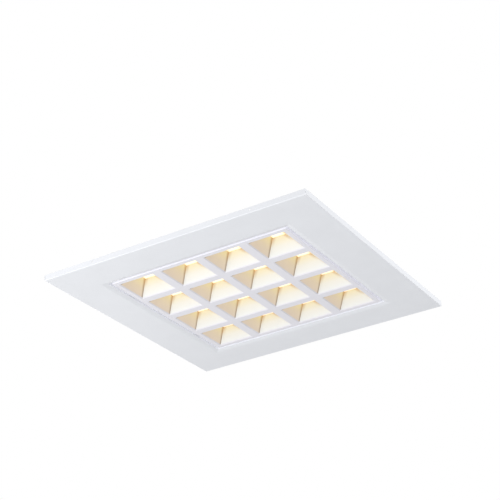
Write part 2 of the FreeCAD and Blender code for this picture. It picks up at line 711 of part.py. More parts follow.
def louvre_hinges():
    """Gooseneck brackets riveted to the upstand, and the pins that the louvre turns on."""
    wall = f"-{THROAT_HALF}"
    arm = "(hinge_rise + 3.2)"
    neck_side = ("-hinge_reach - bracket_sheet / 2", "-hinge_reach + bracket_sheet / 2")
    rivets = []
    for number, middle in enumerate(SIDE_PLACES, start=1):
        eye_side = (f"{middle} - eye_width / 2", f"{middle} + eye_width / 2")
        leaf = block(f"leaf_{number}", (wall, f"{wall} + bracket_sheet"),
                     (f"{middle} - 8", f"{middle} + 8"), (arm, "upstand_rise - 0.5"))
        shelf = block(f"shelf_{number}", (wall, neck_side[1]), eye_side,
                      (arm, f"{arm} + bracket_sheet"))
        neck = block(f"neck_{number}", neck_side, eye_side,
                     ("hinge_rise + hinge_bore_dia / 2 + 0.4", f"{arm} + bracket_sheet"))
        eye = rod(f"eye_{number}", "Y", HINGE_ROUND, ("-hinge_reach", eye_side[0], "hinge_rise"),
                  "eye_width")
        tools = [rod(f"eye_bore_{number}", "Y", "hinge_bore_dia / 2",
                     ("-hinge_reach", eye_side[0], "hinge_rise"), "eye_width")]
        for side in RIVET_SIDES:
            place_of_rivet = f"{middle} + {side}"
            tools.append(rod(f"leaf_hole_{len(rivets) + 1}", "X", "1.6",
                             (wall, place_of_rivet, RIVET_RISE), "bracket_sheet"))
            rivets.append(bracket_rivet(len(rivets) + 1, wall, place_of_rivet))
        whole = fuse(f"bracket_whole_{number}", [leaf, shelf, neck, eye])
        keep(f"hinge_bracket_{number}", cut(f"bracket_{number}", whole, tools))
        shaft = rod(f"shaft_{number}", "Y", "hinge_pin_dia / 2",
                    ("-hinge_reach", f"{middle} - 8.3", "hinge_rise"), "16.6")
        head = rod(f"shaft_head_{number}", "Y", "hinge_pin_dia / 2 + 0.6",
                   ("-hinge_reach", f"{middle} + 7.5", "hinge_rise"), "0.8")
        keep(f"hinge_pin_{number}", fuse(f"pin_{number}", [shaft, head]))
    keep("bracket_rivets", group("bracket_rivets", rivets))


def bracket_rivet(number, wall, y):
    """Rivet along X through a bracket leaf and the upstand."""
    inner = f"({wall} + bracket_sheet)"
    outer = f"({wall} - frame_sheet)"
    stem = rod(f"bracket_rivet_stem_{number}", "X", "1.5", (outer, y, RIVET_RISE),
               "bracket_sheet + frame_sheet")
    head = rod(f"bracket_rivet_head_{number}", "X", "2.4", (inner, y, RIVET_RISE), "1")
    tail = rod(f"bracket_rivet_tail_{number}", "X", "2.2", (f"{outer} - 0.8", y, RIVET_RISE), "0.8")
    return fuse(f"bracket_rivet_{number}", [stem, head, tail])


def catches():
    """Sprung sliding bolts in cases on the louvre, which snap into the keeper slots."""
    front = LOUVRE_HALF
    stop = f"({LOUVRE_HALF} - 1.5)"
    tail = f"({stop} - 0.2)"
    screws = []
    for number, middle in enumerate(SIDE_PLACES, start=1):
        shell = block(f"case_shell_{number}", (CATCH_BACK, front),
                      (f"{middle} - 8", f"{middle} + 8"), ("catch_rise", "catch_rise + 7"))
        ears = block(f"case_ears_{number}", (f"{CATCH_SCREW_X} - 4", f"{CATCH_SCREW_X} + 4"),
                     (f"{middle} - 13.5", f"{middle} + 13.5"), ("catch_rise", "catch_rise + 1.2"))
        room = ("catch_rise + 1.3", "catch_rise + 5.3")
        tools = [
            block(f"case_room_{number}", (f"{CATCH_BACK} + 1.5", stop),
                  (f"{middle} - 6.2", f"{middle} + 6.2"), room),
            block(f"case_mouth_{number}", (f"{stop} - 1", f"{front} + 1"),
                  (f"{middle} - bolt_width / 2 - 0.2", f"{middle} + bolt_width / 2 + 0.2"), room),
        ]
        for side in CATCH_SCREW_SIDES:
            screw_y = f"{middle} + {side}"
            tools.append(rod(f"ear_hole_{len(screws) + 1}", "Z", "1.4",
                             (CATCH_SCREW_X, screw_y, "catch_rise"), "1.2"))
            screws.append(down_screw(f"catch_screw_{len(screws) + 1}", CATCH_SCREW_X, screw_y,
                                     "(catch_rise + 1.2)", "2.2", "1.3", "1.1",
                                     f"catch_rise - {CATCH_SCREW_DEPTH}"))
        whole = fuse(f"case_whole_{number}", [shell, ears])
        keep(f"catch_case_{number}", cut(f"case_{number}", whole, tools))
        level = ("catch_rise + 1.6", "catch_rise + 1.6 + bolt_thick")
        shoulder = block(f"bolt_shoulder_{number}", (f"{tail} - 6.2", tail),
                         (f"{middle} - 6", f"{middle} + 6"), level)
        nose = block(f"bolt_nose_{number}", (f"{tail} - 1", f"{THROAT_HALF} + 2.6"),
                     (f"{middle} - bolt_width / 2", f"{middle} + bolt_width / 2"), level)
        bolt = fuse(f"bolt_whole_{number}", [shoulder, nose])
        tip = value(f"{THROAT_HALF} + 2.6")
        low = value(level[0])
        keep(f"catch_bolt_{number}",
             chamfered(f"bolt_{number}", bolt, "2.2",
                       lambda point, way: near(point.x, tip) and near(point.z, low)))
        keep(f"catch_spring_{number}", bow_spring(number, middle))
    keep("catch_screws", group("catch_screws", screws))


def bow_spring(number, middle):
    """Bowed strip between the back of a case and its bolt."""
    centre = (f"{LOUVRE_HALF} - 12.9", middle, "catch_rise + 1.8")
    outer = rod(f"bow_outer_{number}", "Z", "5", centre, "3")
    inner = rod(f"bow_inner_{number}", "Z", "4.6", centre, "3")
    behind = block(f"bow_behind_{number}", (f"{LOUVRE_HALF} - 20", f"{CATCH_BACK} + 1.5"),
                   (f"{middle} - 6", f"{middle} + 6"), ("catch_rise + 1.5", "catch_rise + 5"))
    return cut(f"bow_{number}", outer, [inner, behind])


def tray():
    """Folded steel channel with feet, beads, side vents and holes for all that it holds."""
    body = new_body("tray")
    feet = sketch_on(body, "foot_outline", "frame_sheet")
    add_square(feet, "foot_width / 2")
    pad(body, "feet", feet, "tray_sheet")
    shell = sketch_on(body, "shell_outline", "frame_sheet")
    add_square(shell, TRAY_HALF)
    raised = pad(body, "shell", shell, "tray_top - frame_sheet")
    fillet(body, "outer_bends", raised, "tray_bend", along_x_at("tray_top"))
    beads = sketch_on(body, "bead_outline", "tray_top")
    for side in BEAD_PLACES:
        add_rectangle(beads, "-bead_length / 2", "bead_length / 2", f"{side} - 7", f"{side} + 7")
    pad(body, "beads", beads, "bead_rise")
    hollow = sketch_on(body, "hollow_outline", "frame_sheet")
    add_rectangle(hollow, *plus_minus("foot_width / 2 + 1"), *plus_minus(f"{TRAY_HALF} - tray_sheet"))
    hollowed = pocket(body, "hollow", hollow, "tray_top - frame_sheet - tray_sheet")
    fillet(body, "inner_bends", hollowed, "tray_bend - tray_sheet", along_x_at(TRAY_UNDER))
    dents = sketch_on(body, "dent_outline", f"{TRAY_UNDER} - 0.5")
    for side in BEAD_PLACES:
        add_rectangle(dents, "-bead_length / 2 + tray_sheet", "bead_length / 2 - tray_sheet",
                      f"{side} - 7 + tray_sheet", f"{side} + 7 - tray_sheet")
    pocket(body, "dents", dents, "bead_rise + 0.5")
    cut_tray_holes(body)
    keep("tray", body)
    keep("tray_ends", group("tray_ends", [tray_end(number, side) for number, side in ((1, -1), (2, 1))]))


def tray_end(number, side):
    """Plate that closes an end of the tray, with a foot of its own."""
    body = new_body(f"tray_end_{number}")
    reach = plus_minus(f"{TRAY_HALF} - tray_bend")
    wall = sketch_on(body, "wall_outline", "frame_sheet")
    add_rectangle(wall, *ordered(side, f"{TRAY_HALF} - tray_sheet", TRAY_HALF), *reach)
    pad(body, "wall", wall, "tray_top - frame_sheet - tray_sheet")
    foot = sketch_on(body, "foot_outline", "frame_sheet")
    add_rectangle(foot, *ordered(side, TRAY_HALF, "foot_width / 2"), *reach)
    pad(body, "foot", foot, "tray_sheet")
    studs = sketch_on(body, "stud_hole_outline", "frame_sheet")
    for along in STUD_PLACES:
        add_circle(studs, f"{side} * stud_reach", along, "stud_dia / 2 + 1.1")
    pocket(body, "stud_holes", studs, "tray_sheet + 0.5")
    vents = sketch_on(body, "vent_outline", f"{side} * {TRAY_HALF} - 2", "YZ_Plane")
    add_vents(vents)
    pocket(body, "vents", vents, "4")
    return body


def add_vents(sketch):
    """Row of seven vent slots."""
    for number in range(-3, 4):
        middle = f"{number} * vent_pitch"
        add_rectangle(sketch, f"{middle} - vent_length / 2", f"{middle} + vent_length / 2",
                      "vent_height", "vent_height + 3")


def cut_tray_holes(body):
    """Stud holes in the feet, vents in the sides, and the holes of the top."""
    studs = sketch_on(body, "stud_hole_outline", "frame_sheet")
    for along in STUD_PLACES:
        add_circle(studs, along, "-stud_reach", "stud_dia / 2 + 1.1")
    drilled = pocket(body, "stud_holes", studs, "tray_sheet + 0.5")
    vents = sketch_on(body, "vent_outline", f"{TRAY_HALF} - 2", "XZ_Plane")
    add_vents(vents)
    slotted = pocket(body, "vents", vents, "4")
    polar(body, "both_sides", [drilled, slotted], 2)
    top = sketch_on(body, "top_hole_outline", f"{TRAY_UNDER} - 0.5")
    for x, y in PLATE_SCREW_PLACES + BOX_SCREW_PLACES:
        add_circle(top, x, y, "2.2")
    for x, y in EYE_RIVET_PLACES:
        add_circle(top, x, y, "1.6")
    add_circle(top, "lead_hole_reach", "0", "grommet_neck_dia / 2")
    pocket(body, "top_holes", top, "tray_sheet + 1")


def tray_fixings():
    """Studs welded to the back of the face, and the flange nuts that hold the tray down."""
    studs = []
    nuts = []
    for along in STUD_PLACES:
        for x, y in ((along, "-stud_reach"), (along, "stud_reach"),
                     ("-stud_reach", along), ("stud_reach", along)):
            number = len(studs) + 1
            base = rod(f"stud_base_{number}", "Z", "stud_dia / 2 + 0.8", (x, y, "frame_sheet"),
                       "0.7")
            stem = rod(f"stud_stem_{number}", "Z", "stud_dia / 2", (x, y, "frame_sheet"), "8")
            studs.append(fuse(f"stud_{number}", [base, stem]))
            seat = "(frame_sheet + tray_sheet)"
            flange = rod(f"nut_flange_{number}", "Z", "4.7", (x, y, seat), "1")
            hexagon = doc.addObject("Part::Prism", f"nut_hexagon_{number}")
            bind(hexagon, Circumradius="4", Height="4")
            place(hexagon, x, y, seat)
            solid = fuse(f"nut_solid_{number}", [flange, hexagon])
            bore = rod(f"nut_bore_{number}", "Z", "stud_dia / 2 + 0.05", (x, y, seat), "4")
            nuts.append(cut(f"nut_{number}", solid, [bore]))
    keep("frame_studs", group("frame_studs", studs))
    keep("tray_nuts", group("tray_nuts", nuts))


def heat_plate():
    """Aluminium plate under the tray's top, which carries the light boards."""
    body = new_body("led_plate")
    outline = sketch_on(body, "plate_outline", PLATE_UNDER)
    add_rectangle(outline, *plus_minus("plate_length / 2"), *plus_minus("plate_width / 2"))
    pad(body, "plate", outline, "plate_sheet")
    holes = sketch_on(body, "plate_hole_outline", PLATE_UNDER)
    for x, y in PLATE_SCREW_PLACES + BOX_SCREW_PLACES:
        add_circle(holes, x, y, "1.55")
    for x in BAR_PLACES:
        for y in CELL_PLACES:
            add_circle(holes, x, y, "1.55")
    add_circle(holes, "lead_hole_reach", "0", "grommet_neck_dia / 2 + 2.5")
    pocket(body, "plate_holes", holes, "plate_sheet")
    keep("led_plate", body)
    screws = [down_screw(f"plate_screw_{number}", x, y, "tray_top", "3.4", "2.2", "1.5",
                         f"{PLATE_UNDER} - 0.7")
              for number, (x, y) in enumerate(PLATE_SCREW_PLACES, start=1)]
    keep("plate_screws", group("plate_screws", screws))


def light_engine():
    """Four light boards with their chips, screws, connectors and link leads."""
    chips = []
    screws = []
    connectors = []
    for number, y in enumerate(CELL_PLACES, start=1):
        board = block(f"board_blank_{number}", plus_minus("board_length / 2"),
                      (f"{y} - board_width / 2", f"{y} + board_width / 2"),
                      (BOARD_UNDER, PLATE_UNDER))
        holes = []
        for x in BAR_PLACES:
            holes.append(rod(f"board_hole_{len(screws) + 1}", "Z", "1.7", (x, y, BOARD_UNDER),
                             "board_sheet"))
            screws.append(up_screw(f"board_screw_{len(screws) + 1}", x, y, BOARD_UNDER,
                                   "2.8", "1.8", "1.5", f"{TRAY_UNDER} - 0.2"))
        keep(f"led_board_{number}", cut(f"board_{number}", board, holes))
        for x in CELL_PLACES:
            chips.append(light_chip(len(chips) + 1, x, y))
        for side in LINK_SIDES[number - 1]:
            connectors.append(connector(len(connectors) + 1, f"{side} * link_reach", y, "9", "7"))
    connectors.append(connector(len(connectors) + 1, "lead_hole_reach", f"{CELL_PLACES[2]} - 6",
                                "9", "8"))
    keep("led_chips", group("led_chips", chips))
    keep("board_screws", group("board_screws", screws))
    keep("board_connectors", group("board_connectors", connectors))
    link_leads()


def light_chip(number, x, y):
    """Square chip carrier with a raised lit square."""
    half = "chip_side / 2"
    carrier = block(f"chip_carrier_{number}", (f"{x} - {half}", f"{x} + {half}"),
                    (f"{y} - {half}", f"{y} + {half}"),
                    (f"{BOARD_UNDER} - chip_rise / 2", BOARD_UNDER))
    lit = block(f"chip_lit_{number}", (f"{x} - {half} + 2", f"{x} + {half} - 2"),
                (f"{y} - {half} + 2", f"{y} + {half} - 2"),
                (f"{BOARD_UNDER} - chip_rise", BOARD_UNDER))
    return fuse(f"chip_{number}", [carrier, lit])


def connector(number, x, y, length, width):
    """Small plug-in connector under a light board."""
    return block(f"connector_{number}", (f"{x} - {length} / 2", f"{x} + {length} / 2"),
                 (f"{y} - {width} / 2", f"{y} + {width} / 2"), (f"{BOARD_UNDER} - 3.6", BOARD_UNDER))


def link_leads():
    """Three leads that join the boards end to end, in turn at -X and +X."""
    level = value(f"{BOARD_UNDER} - 1.9")
    inner = value("link_reach + 4.5")
    outer = value("plate_length / 2 + 4")
    leads = []
    for number, side in enumerate((-1, 1, -1)):
        start, end = (value(CELL_PLACES[number + step]) for step in (0, 1))
        route = [Vector(side * inner, start, level), Vector(side * outer, start, level),
                 Vector(side * outer, end, level), Vector(side * inner, end, level)]
        leads.append(bent_tube(f"link_lead_{number + 1}", 1.2, (6, 6), route))
    keep("link_leads", group("link_leads", leads))


def wiring_box():
    """Folded channel on the tray with two end walls, its screws, and the eyes of the cover hinge."""
    body = new_body("driver_box")
    outline = sketch_on(body, "box_outline", "tray_top")
    add_rectangle(outline, *plus_minus("box_length / 2"), *plus_minus("box_width / 2"))
    pad(body, "box", outline, "box_rise")
    inside = sketch_on(body, "inside_outline", BOX_FLOOR)
    add_rectangle(inside, *plus_minus("box_length / 2 + 1"), *plus_minus("box_width / 2 - tray_sheet"))
    pocket(body, "inside", inside, "box_rise")
    floor = sketch_on(body, "floor_hole_outline", "tray_top")
    for x, y in BOX_SCREW_PLACES:
        add_circle(floor, x, y, "2.2")
    for x, y in GEAR_SCREW_PLACES + [EARTH_PLACE]:
        add_circle(floor, x, y, "2")
    add_circle(floor, "lead_hole_reach", "0", "grommet_neck_dia / 2")
    pocket(body, "floor_holes", floor, "tray_sheet")
    add_knuckles(body, "box_eye", "-35", "2", "50", f"{COVER_AXIS_Z} - knuckle_round",
                 f"{COVER_AXIS_Z} - knuckle_round + tray_sheet", "box_width / 2 - tray_sheet / 2")
    keep("driver_box", body)
    box_end("box_end_in", -1, ENTRY_PLACES)
    box_end("box_end_out", 1, ())
    screws = [down_screw(f"box_screw_{number}", x, y, BOX_FLOOR, "3.4", "2.2", "1.5",
                         f"{PLATE_UNDER} - 0.7")
              for number, (x, y) in enumerate(BOX_SCREW_PLACES, start=1)]
    keep("box_screws", group("box_screws", screws))


def box_end(label, side, entry_places):
    """End wall welded between the sides of the channel, with round cable entries."""
    body = new_body(label)
    wall = sketch_on(body, "wall_outline", BOX_FLOOR)
    add_rectangle(wall, *ordered(side, "box_length / 2 - tray_sheet", "box_length / 2"),
                  *plus_minus("box_width / 2 - tray_sheet"))
    pad(body, "wall", wall, "box_rise - tray_sheet")
    if entry_places:
        entries = sketch_on(body, "entry_outline", "-box_length / 2 - 1", "YZ_Plane")
        for y in entry_places:
            add_circle(entries, y, ENTRY_RISE, "entry_neck_dia / 2")
        pocket(body, "entries", entries, "tray_sheet + 2")
    keep(label, body)


def add_knuckles(body, name, start, count, spread, low, high, edge):
    """Rolled hinge eyes along X, each on a tab from the sheet's edge to the pin."""
    tab = sketch_on(body, f"{name}_tab_outline", start, "YZ_Plane")
    add_rectangle(tab, edge, COVER_AXIS_Y, low, high)
    tabbed = pad(body, f"{name}_tab", tab, "knuckle_length")
    ring = sketch_on(body, f"{name}_outline", start, "YZ_Plane")
    add_circle(ring, COVER_AXIS_Y, COVER_AXIS_Z, "knuckle_round")
    rolled = pad(body, name, ring, "knuckle_length")
    bore = sketch_on(body, f"{name}_bore_outline", start, "YZ_Plane")
    add_circle(bore, COVER_AXIS_Y, COVER_AXIS_Z, "cover_pin_dia / 2 + 0.05")
    drilled = pocket(body, f"{name}_bore", bore, "knuckle_length")
    grid(body, f"{name}_row", [tabbed, rolled, drilled], "X_Axis", count, spread)


def wiring_cover():
    """Cover with a turned-down front, two end strips, a lifting lip, three hinge eyes, and its pin."""
    body = new_body("cover_lid")
    under = f"({BOX_TOP} + cover_gap)"
    edge = f"({under} + tray_sheet - cover_skirt)"
    side = "(box_length / 2 + cover_gap + tray_sheet)"
    front = "(box_width / 2 + cover_gap + tray_sheet)"
    rear = "(box_width / 2 - 0.2)"
    outline = sketch_on(body, "cover_outline", edge)
    add_rectangle(outline, f"-{side}", side, f"-{front}", rear)
    pad(body, "cover", outline, "cover_skirt")
    inside = sketch_on(body, "cover_inside_outline", edge)
    add_rectangle(inside, *plus_minus(f"{side} + 1"), f"-{front} + tray_sheet", f"{rear} + 1")
    pocket(body, "cover_inside", inside, "cover_skirt - tray_sheet")
    lip = sketch_on(body, "lip_outline", edge)
    add_rectangle(lip, "-20", "20", f"-{front} - 6", f"-{front} + tray_sheet / 2")
    pad(body, "lifting_lip", lip, "tray_sheet")
    add_knuckles(body, "cover_eye", "-60", "3", "100", under, f"{under} + tray_sheet",
                 f"{rear} - tray_sheet")
    strips = [block(f"cover_end_{number}", ordered(end, f"{side} - tray_sheet", side),
                    (f"-{front} + tray_sheet", rear), (edge, under))
              for number, end in enumerate((-1, 1), start=1)]
    keep("driver_cover", group("driver_cover", [body, *strips]))
    pin = rod("cover_pin_rod", "X", "cover_pin_dia / 2", ("-62", COVER_AXIS_Y, COVER_AXIS_Z), "124")
    head = rod("cover_pin_head", "X", "cover_pin_dia / 2 + 0.7",
               ("-62.8", COVER_AXIS_Y, COVER_AXIS_Z), "0.8")
    keep("cover_pin", fuse("cover_pin_whole", [pin, head]))


def driver():
    """Driver case between two end caps that take its leads and screws."""
    half = "driver_width / 2"
    case_side = (f"{DRIVER_LEFT} + cap_length", f"{DRIVER_RIGHT} - cap_length")
    top = f"({BOX_FLOOR} + driver_rise)"
    body = new_body("driver_case")
    outline = sketch_on(body, "case_outline", BOX_FLOOR)
    add_rectangle(outline, *case_side, *plus_minus(half))
    raised = pad(body, "case", outline, "driver_rise")
    crest = value(top)
    side = value(half)

    def long_top(point, way):
        return near(point.z, crest) and near(abs(point.y), side)

    rounded = fillet(body, "case_edges", raised, "4", long_top)
    groove = sketch_on(body, "groove_outline", f"{top} - 1.2")
    add_rectangle(groove, f"{case_side[0]} + 6", f"{case_side[0]} + 9", *plus_minus(f"{half} - 8"))
    grooved = pocket(body, "groove", groove, "2")
    grid(body, "grooves", [grooved], "X_Axis", "8", "100")
    keep("driver_case", body)
    for name, low, high, ear in (
            ("driver_cap_in", DRIVER_LEFT, case_side[0], f"{DRIVER_LEFT} - 8"),
            ("driver_cap_out", case_side[1], DRIVER_RIGHT, f"{DRIVER_RIGHT} + 8")):
        driver_cap(name, low, high, ear)


def driver_cap(name, low, high, ear):
    """End cap with a screw ear and ports for the leads."""
    half = "driver_width / 2"
    incoming = name.endswith("in")
    shell = block(f"{name}_shell", (low, high), plus_minus(f"{half} + 0.8"),
                  (BOX_FLOOR, f"{BOX_FLOOR} + driver_rise + 0.8"))
    ear_side = (ear, low) if incoming else (high, ear)
    foot = block(f"{name}_foot", ear_side, plus_minus(f"{half} - 4"), (BOX_FLOOR, f"{BOX_FLOOR} + 2"))
    whole = fuse(f"{name}_whole", [shell, foot])
    face = low if incoming else f"({high} - 5)"
    reach = "lead_port / 2"
    tools = [block(f"{name}_port_{number}", (face, f"{face} + 5"), (f"{y} - {reach}", f"{y} + {reach}"),
                   (f"{DRIVER_PORT_Z} - {reach}", f"{DRIVER_PORT_Z} + {reach}"))
             for number, y in enumerate(plus_minus("driver_port_spread") if incoming else ("0",))]
    screw_x, screw_y = GEAR_SCREW_PLACES[0 if incoming else 1]
    tools.append(rod(f"{name}_ear_hole", "Z", "2.1", (screw_x, screw_y, BOX_FLOOR), "2"))
    keep(name, cut(f"{name}_cut", whole, tools))


def terminals():
    """Three-way screw terminal block, its screws, and the screws that hold the gear down."""
    body = new_body("terminal_block")
    foot = sketch_on(body, "block_foot_outline", BOX_FLOOR)
    add_rectangle(foot, f"{BLOCK_X} - 8", f"{BLOCK_X} + 8", "-28", "28")
    pad(body, "block_foot", foot, "3")
    bar = sketch_on(body, "block_outline", BOX_FLOOR)
    add_rectangle(bar, f"{BLOCK_X} - 11", f"{BLOCK_X} + 11", "-19", "19")
    pad(body, "block", bar, "block_rise")
    ports = sketch_on(body, "port_outline", f"{BLOCK_X} - 11", "YZ_Plane")
    exits = sketch_on(body, "exit_outline", f"{BLOCK_X} + 5", "YZ_Plane")
    wells = sketch_on(body, "well_outline", f"{BOX_FLOOR} + block_rise - 4")
    for y in TERMINAL_PLACES:
        reach = "lead_port / 2"
        for sketch in (ports, exits):
            add_rectangle(sketch, f"{y} - {reach}", f"{y} + {reach}",
                          f"{BLOCK_PORT_Z} - {reach}", f"{BLOCK_PORT_Z} + {reach}")
        for x in TERMINAL_SIDES:
            add_circle(wells, f"{BLOCK_X} + {x}", y, "2.5")
    pocket(body, "ports", ports, "6")
    pocket(body, "exits", exits, "6")
    pocket(body, "wells", wells, "5")
    slots = sketch_on(body, "divider_outline", f"{BOX_FLOOR} + block_rise - 6")
    for y in ("-6", "6"):
        add_rectangle(slots, f"{BLOCK_X} - 12", f"{BLOCK_X} + 12", f"{y} - 0.8", f"{y} + 0.8")
    pocket(body, "dividers", slots, "7")
    holes = sketch_on(body, "block_hole_outline", BOX_FLOOR)
    for x, y in GEAR_SCREW_PLACES[2:]:
        add_circle(holes, x, y, "2.1")
    pocket(body, "block_holes", holes, "4")
    keep("terminal_block", body)
    screws = []
    for y in TERMINAL_PLACES:
        for x in TERMINAL_SIDES:
            screws.append(rod(f"terminal_screw_{len(screws) + 1}", "Z", "2.2",
                              (f"{BLOCK_X} + {x}", y, f"{BOX_FLOOR} + block_rise - 4"), "2.6"))
    keep("terminal_screws", group("terminal_screws", screws))
    gear = [down_screw(f"gear_screw_{number}", x, y, f"({BOX_FLOOR} + {lift})", "3.2", "2.2", "1.9",
                       f"({BOX_FLOOR} - tray_sheet + 0.05)")
            for number, ((x, y), lift) in enumerate(zip(GEAR_SCREW_PLACES, (2, 2, 3, 3)), start=1)]
    keep("gear_screws", group("gear_screws", gear))


def earthing():
    """Earth screw in the floor of the box, with the ring tag of the earth lead."""
    x, y = EARTH_PLACE
    keep("earth_screw", down_screw("earth_screw_whole", x, y, f"({BOX_FLOOR} + 0.8)", "3.8", "2.6",
                                   "1.9", f"({BOX_FLOOR} - tray_sheet + 0.05)"))
    ring = rod("tag_ring", "Z", "4.2", (x, y, BOX_FLOOR), "0.8")
    tongue = block("tag_tongue", (f"{x} - 1.8", f"{x} + 1.8"), (f"{y} - 8", y),
                   (BOX_FLOOR, f"{BOX_FLOOR} + 0.8"))
    barrel = rod("tag_barrel", "Y", "2", (x, f"{y} - 11", EARTH_LEAD_Z), "5")
    core = rod("tag_core", "Y", "1.4", (x, f"{y} - 11", EARTH_LEAD_Z), "4")
    hole = rod("tag_hole", "Z", "2.1", (x, y, BOX_FLOOR), "0.8")
    keep("earth_tag", cut("tag", fuse("tag_whole", [ring, tongue, barrel]), [core, hole]))


def box_leads():
    """Leads held inside the box, each with its whole length."""
    port = value(BLOCK_PORT_Z)
    inlet = value(DRIVER_PORT_Z)
    start = value(f"{BLOCK_X} + 5")
    edge = value(f"{BLOCK_X} + 11")
    end = value(f"{DRIVER_LEFT} + 5")
    face = value(DRIVER_LEFT)
    for label, side in (("live_lead", -1), ("neutral_lead", 1)):
        out = side * value("terminal_pitch")
        back = side * value("driver_port_spread")
        route = [Vector(start, out, port), Vector(edge + 10, out, port),
                 Vector(face - 10, back, inlet), Vector(end, back, inlet)]
        keep(label, bent_tube(label, 1.3, (20, 20), route))
    x, y = (value(text) for text in EARTH_PLACE)
    low = value(EARTH_LEAD_Z)
    route = [Vector(start, 0, port), Vector(x - 8, 0, port), Vector(x, 9, low),
             Vector(x, y - 7, low)]
    keep("earth_lead", bent_tube("earth_lead", 1.3, (9, 9), route))
    hole = value("lead_hole_reach")
    level = value(f"{BOARD_UNDER} - 1.9")
    route = [Vector(value(f"{DRIVER_RIGHT} - 5"), 0, inlet), Vector(hole, 0, inlet),
             Vector(hole, 0, level), Vector(hole, value(f"{CELL_PLACES[2]} - 10"), level)]
    keep("output_lead", bent_tube("output_lead", 1.5, (11, 3.4), route))


def grommet(label, bore, neck, flange, neck_length, outer_lip, inner_lip):
    """Rubber ring turned about Z: an inner lip, a neck and an outer lip, from the bottom up."""
    body = new_body(label)
    profile = sketch_on(body, f"{label}_profile", "0", "XZ_Plane")
    heights = ["0", inner_lip, f"{inner_lip} + {neck_length}",
               f"{inner_lip} + {neck_length} + {outer_lip}"]
    add_outline(profile, (bore, heights[0]), (f"{flange} - 1", heights[0]),
                (f"{flange} - 1", heights[1]), (neck, heights[1]), (neck, heights[2]),
                (flange, heights[2]), (f"{flange} - 1", heights[3]), (bore, heights[3]))
    turned = body.newObject("PartDesign::Revolution", f"{label}_turned")
    turned.Profile = profile
    turned.ReferenceAxis = (origin_of(body, "Z_Axis"), [""])
    turned.Angle = 360
    keep(label, body)
    return body


def cable_openings():
    """Cable entry grommet, blank plug of the spare entry, and the lead's grommet in the tray."""
    entry = grommet("entry_grommet", "entry_bore_dia / 2", "entry_neck_dia / 2",
                    "entry_neck_dia / 2 + 3", "tray_sheet", "2.6", "2.6")
    entry.Placement = Placement(ORIGIN, Rotation(Y_AXIS, -90))
    place(entry, "-box_length / 2 + tray_sheet + 2.6", ENTRY_PLACES[0], ENTRY_RISE)
    outer = rod("plug_face", "X", "entry_neck_dia / 2 + 2",
                ("-box_length / 2 - 1.6", ENTRY_PLACES[1], ENTRY_RISE), "1.6")
    neck = rod("plug_neck", "X", "entry_neck_dia / 2",
               ("-box_length / 2 - 0.5", ENTRY_PLACES[1], ENTRY_RISE), "tray_sheet + 0.5")
    barb = rod("plug_barb", "X", "entry_neck_dia / 2 + 0.6",
               ("-box_length / 2 + tray_sheet", ENTRY_PLACES[1], ENTRY_RISE), "2")
    keep("entry_plug", fuse("plug_whole", [outer, neck, barb]))
    lead = grommet("tray_grommet", "1.7", "grommet_neck_dia / 2", "grommet_neck_dia / 2 + 2",
                   "2 * tray_sheet", "1.4", "1.4")
    place(lead, "lead_hole_reach", "0", f"{TRAY_UNDER} - 1.4")


def safety_eyes():
    """Four folded eyes on the tray for safety wires or hangers, and their rivets."""
    sheet_of_eye = "1.2"
    rivets = []
    for number, (side_x, side_y) in enumerate(EYE_SIDES, start=1):
        y = f"({side_y} * eye_reach_y)"
        depth = (f"{y} - 8", f"{y} + 8")
        step = ordered(side_x, "eye_reach_x - 9", f"eye_reach_x - 9 + {sheet_of_eye}")
        tab = block(f"eye_tab_{number}", ordered(side_x, "eye_reach_x - 9", "eye_reach_x + 9"),
                    depth, ("tray_top + eye_rise", f"tray_top + eye_rise + {sheet_of_eye}"))
        riser = block(f"eye_riser_{number}", step, depth,
                      ("tray_top", f"tray_top + eye_rise + {sheet_of_eye}"))
        base = block(f"eye_base_{number}",
                     ordered(side_x, "eye_reach_x - 30", f"eye_reach_x - 9 + {sheet_of_eye}"),
                     depth, ("tray_top", f"tray_top + {sheet_of_eye}"))
        tools = [rod(f"eye_opening_{number}", "Z", "eye_hole_dia / 2",
                     (f"{side_x} * eye_reach_x", y, "tray_top + eye_rise"), sheet_of_eye)]
        for x, rivet_y in EYE_RIVET_PLACES[2 * number - 2:2 * number]:
            tools.append(rod(f"eye_rivet_hole_{len(rivets) + 1}", "Z", "1.6", (x, rivet_y, "tray_top"),
                             sheet_of_eye))
            rivets.append(tray_rivet(len(rivets) + 1, x, rivet_y, sheet_of_eye))
        whole = fuse(f"eye_whole_{number}", [tab, riser, base])
        rounded = chamfered(f"eye_trimmed_{number}", whole, "4", tab_corner(side_x))
        keep(f"wire_eye_{number}", cut(f"eye_{number}_cut", rounded, tools))
    keep("eye_rivets", group("eye_rivets", rivets))


def tab_corner(side):
    """Test for the upright outer corners of a safety eye's tab."""
    reach = side * value("eye_reach_x + 9")
    return lambda point, way: upright(way) and near(point.x, reach)


def tray_rivet(number, x, y, sheet_of_eye):
    """Rivet down through an eye and the tray."""
    stem = rod(f"eye_rivet_stem_{number}", "Z", "1.5", (x, y, TRAY_UNDER),
               f"tray_sheet + {sheet_of_eye}")
    head = rod(f"eye_rivet_head_{number}", "Z", "3", (x, y, f"tray_top + {sheet_of_eye}"), "1")
    tail = rod(f"eye_rivet_tail_{number}", "Z", "2.4", (x, y, f"{TRAY_UNDER} - 1"), "1")
    return fuse(f"eye_rivet_{number}", [stem, head, tail])


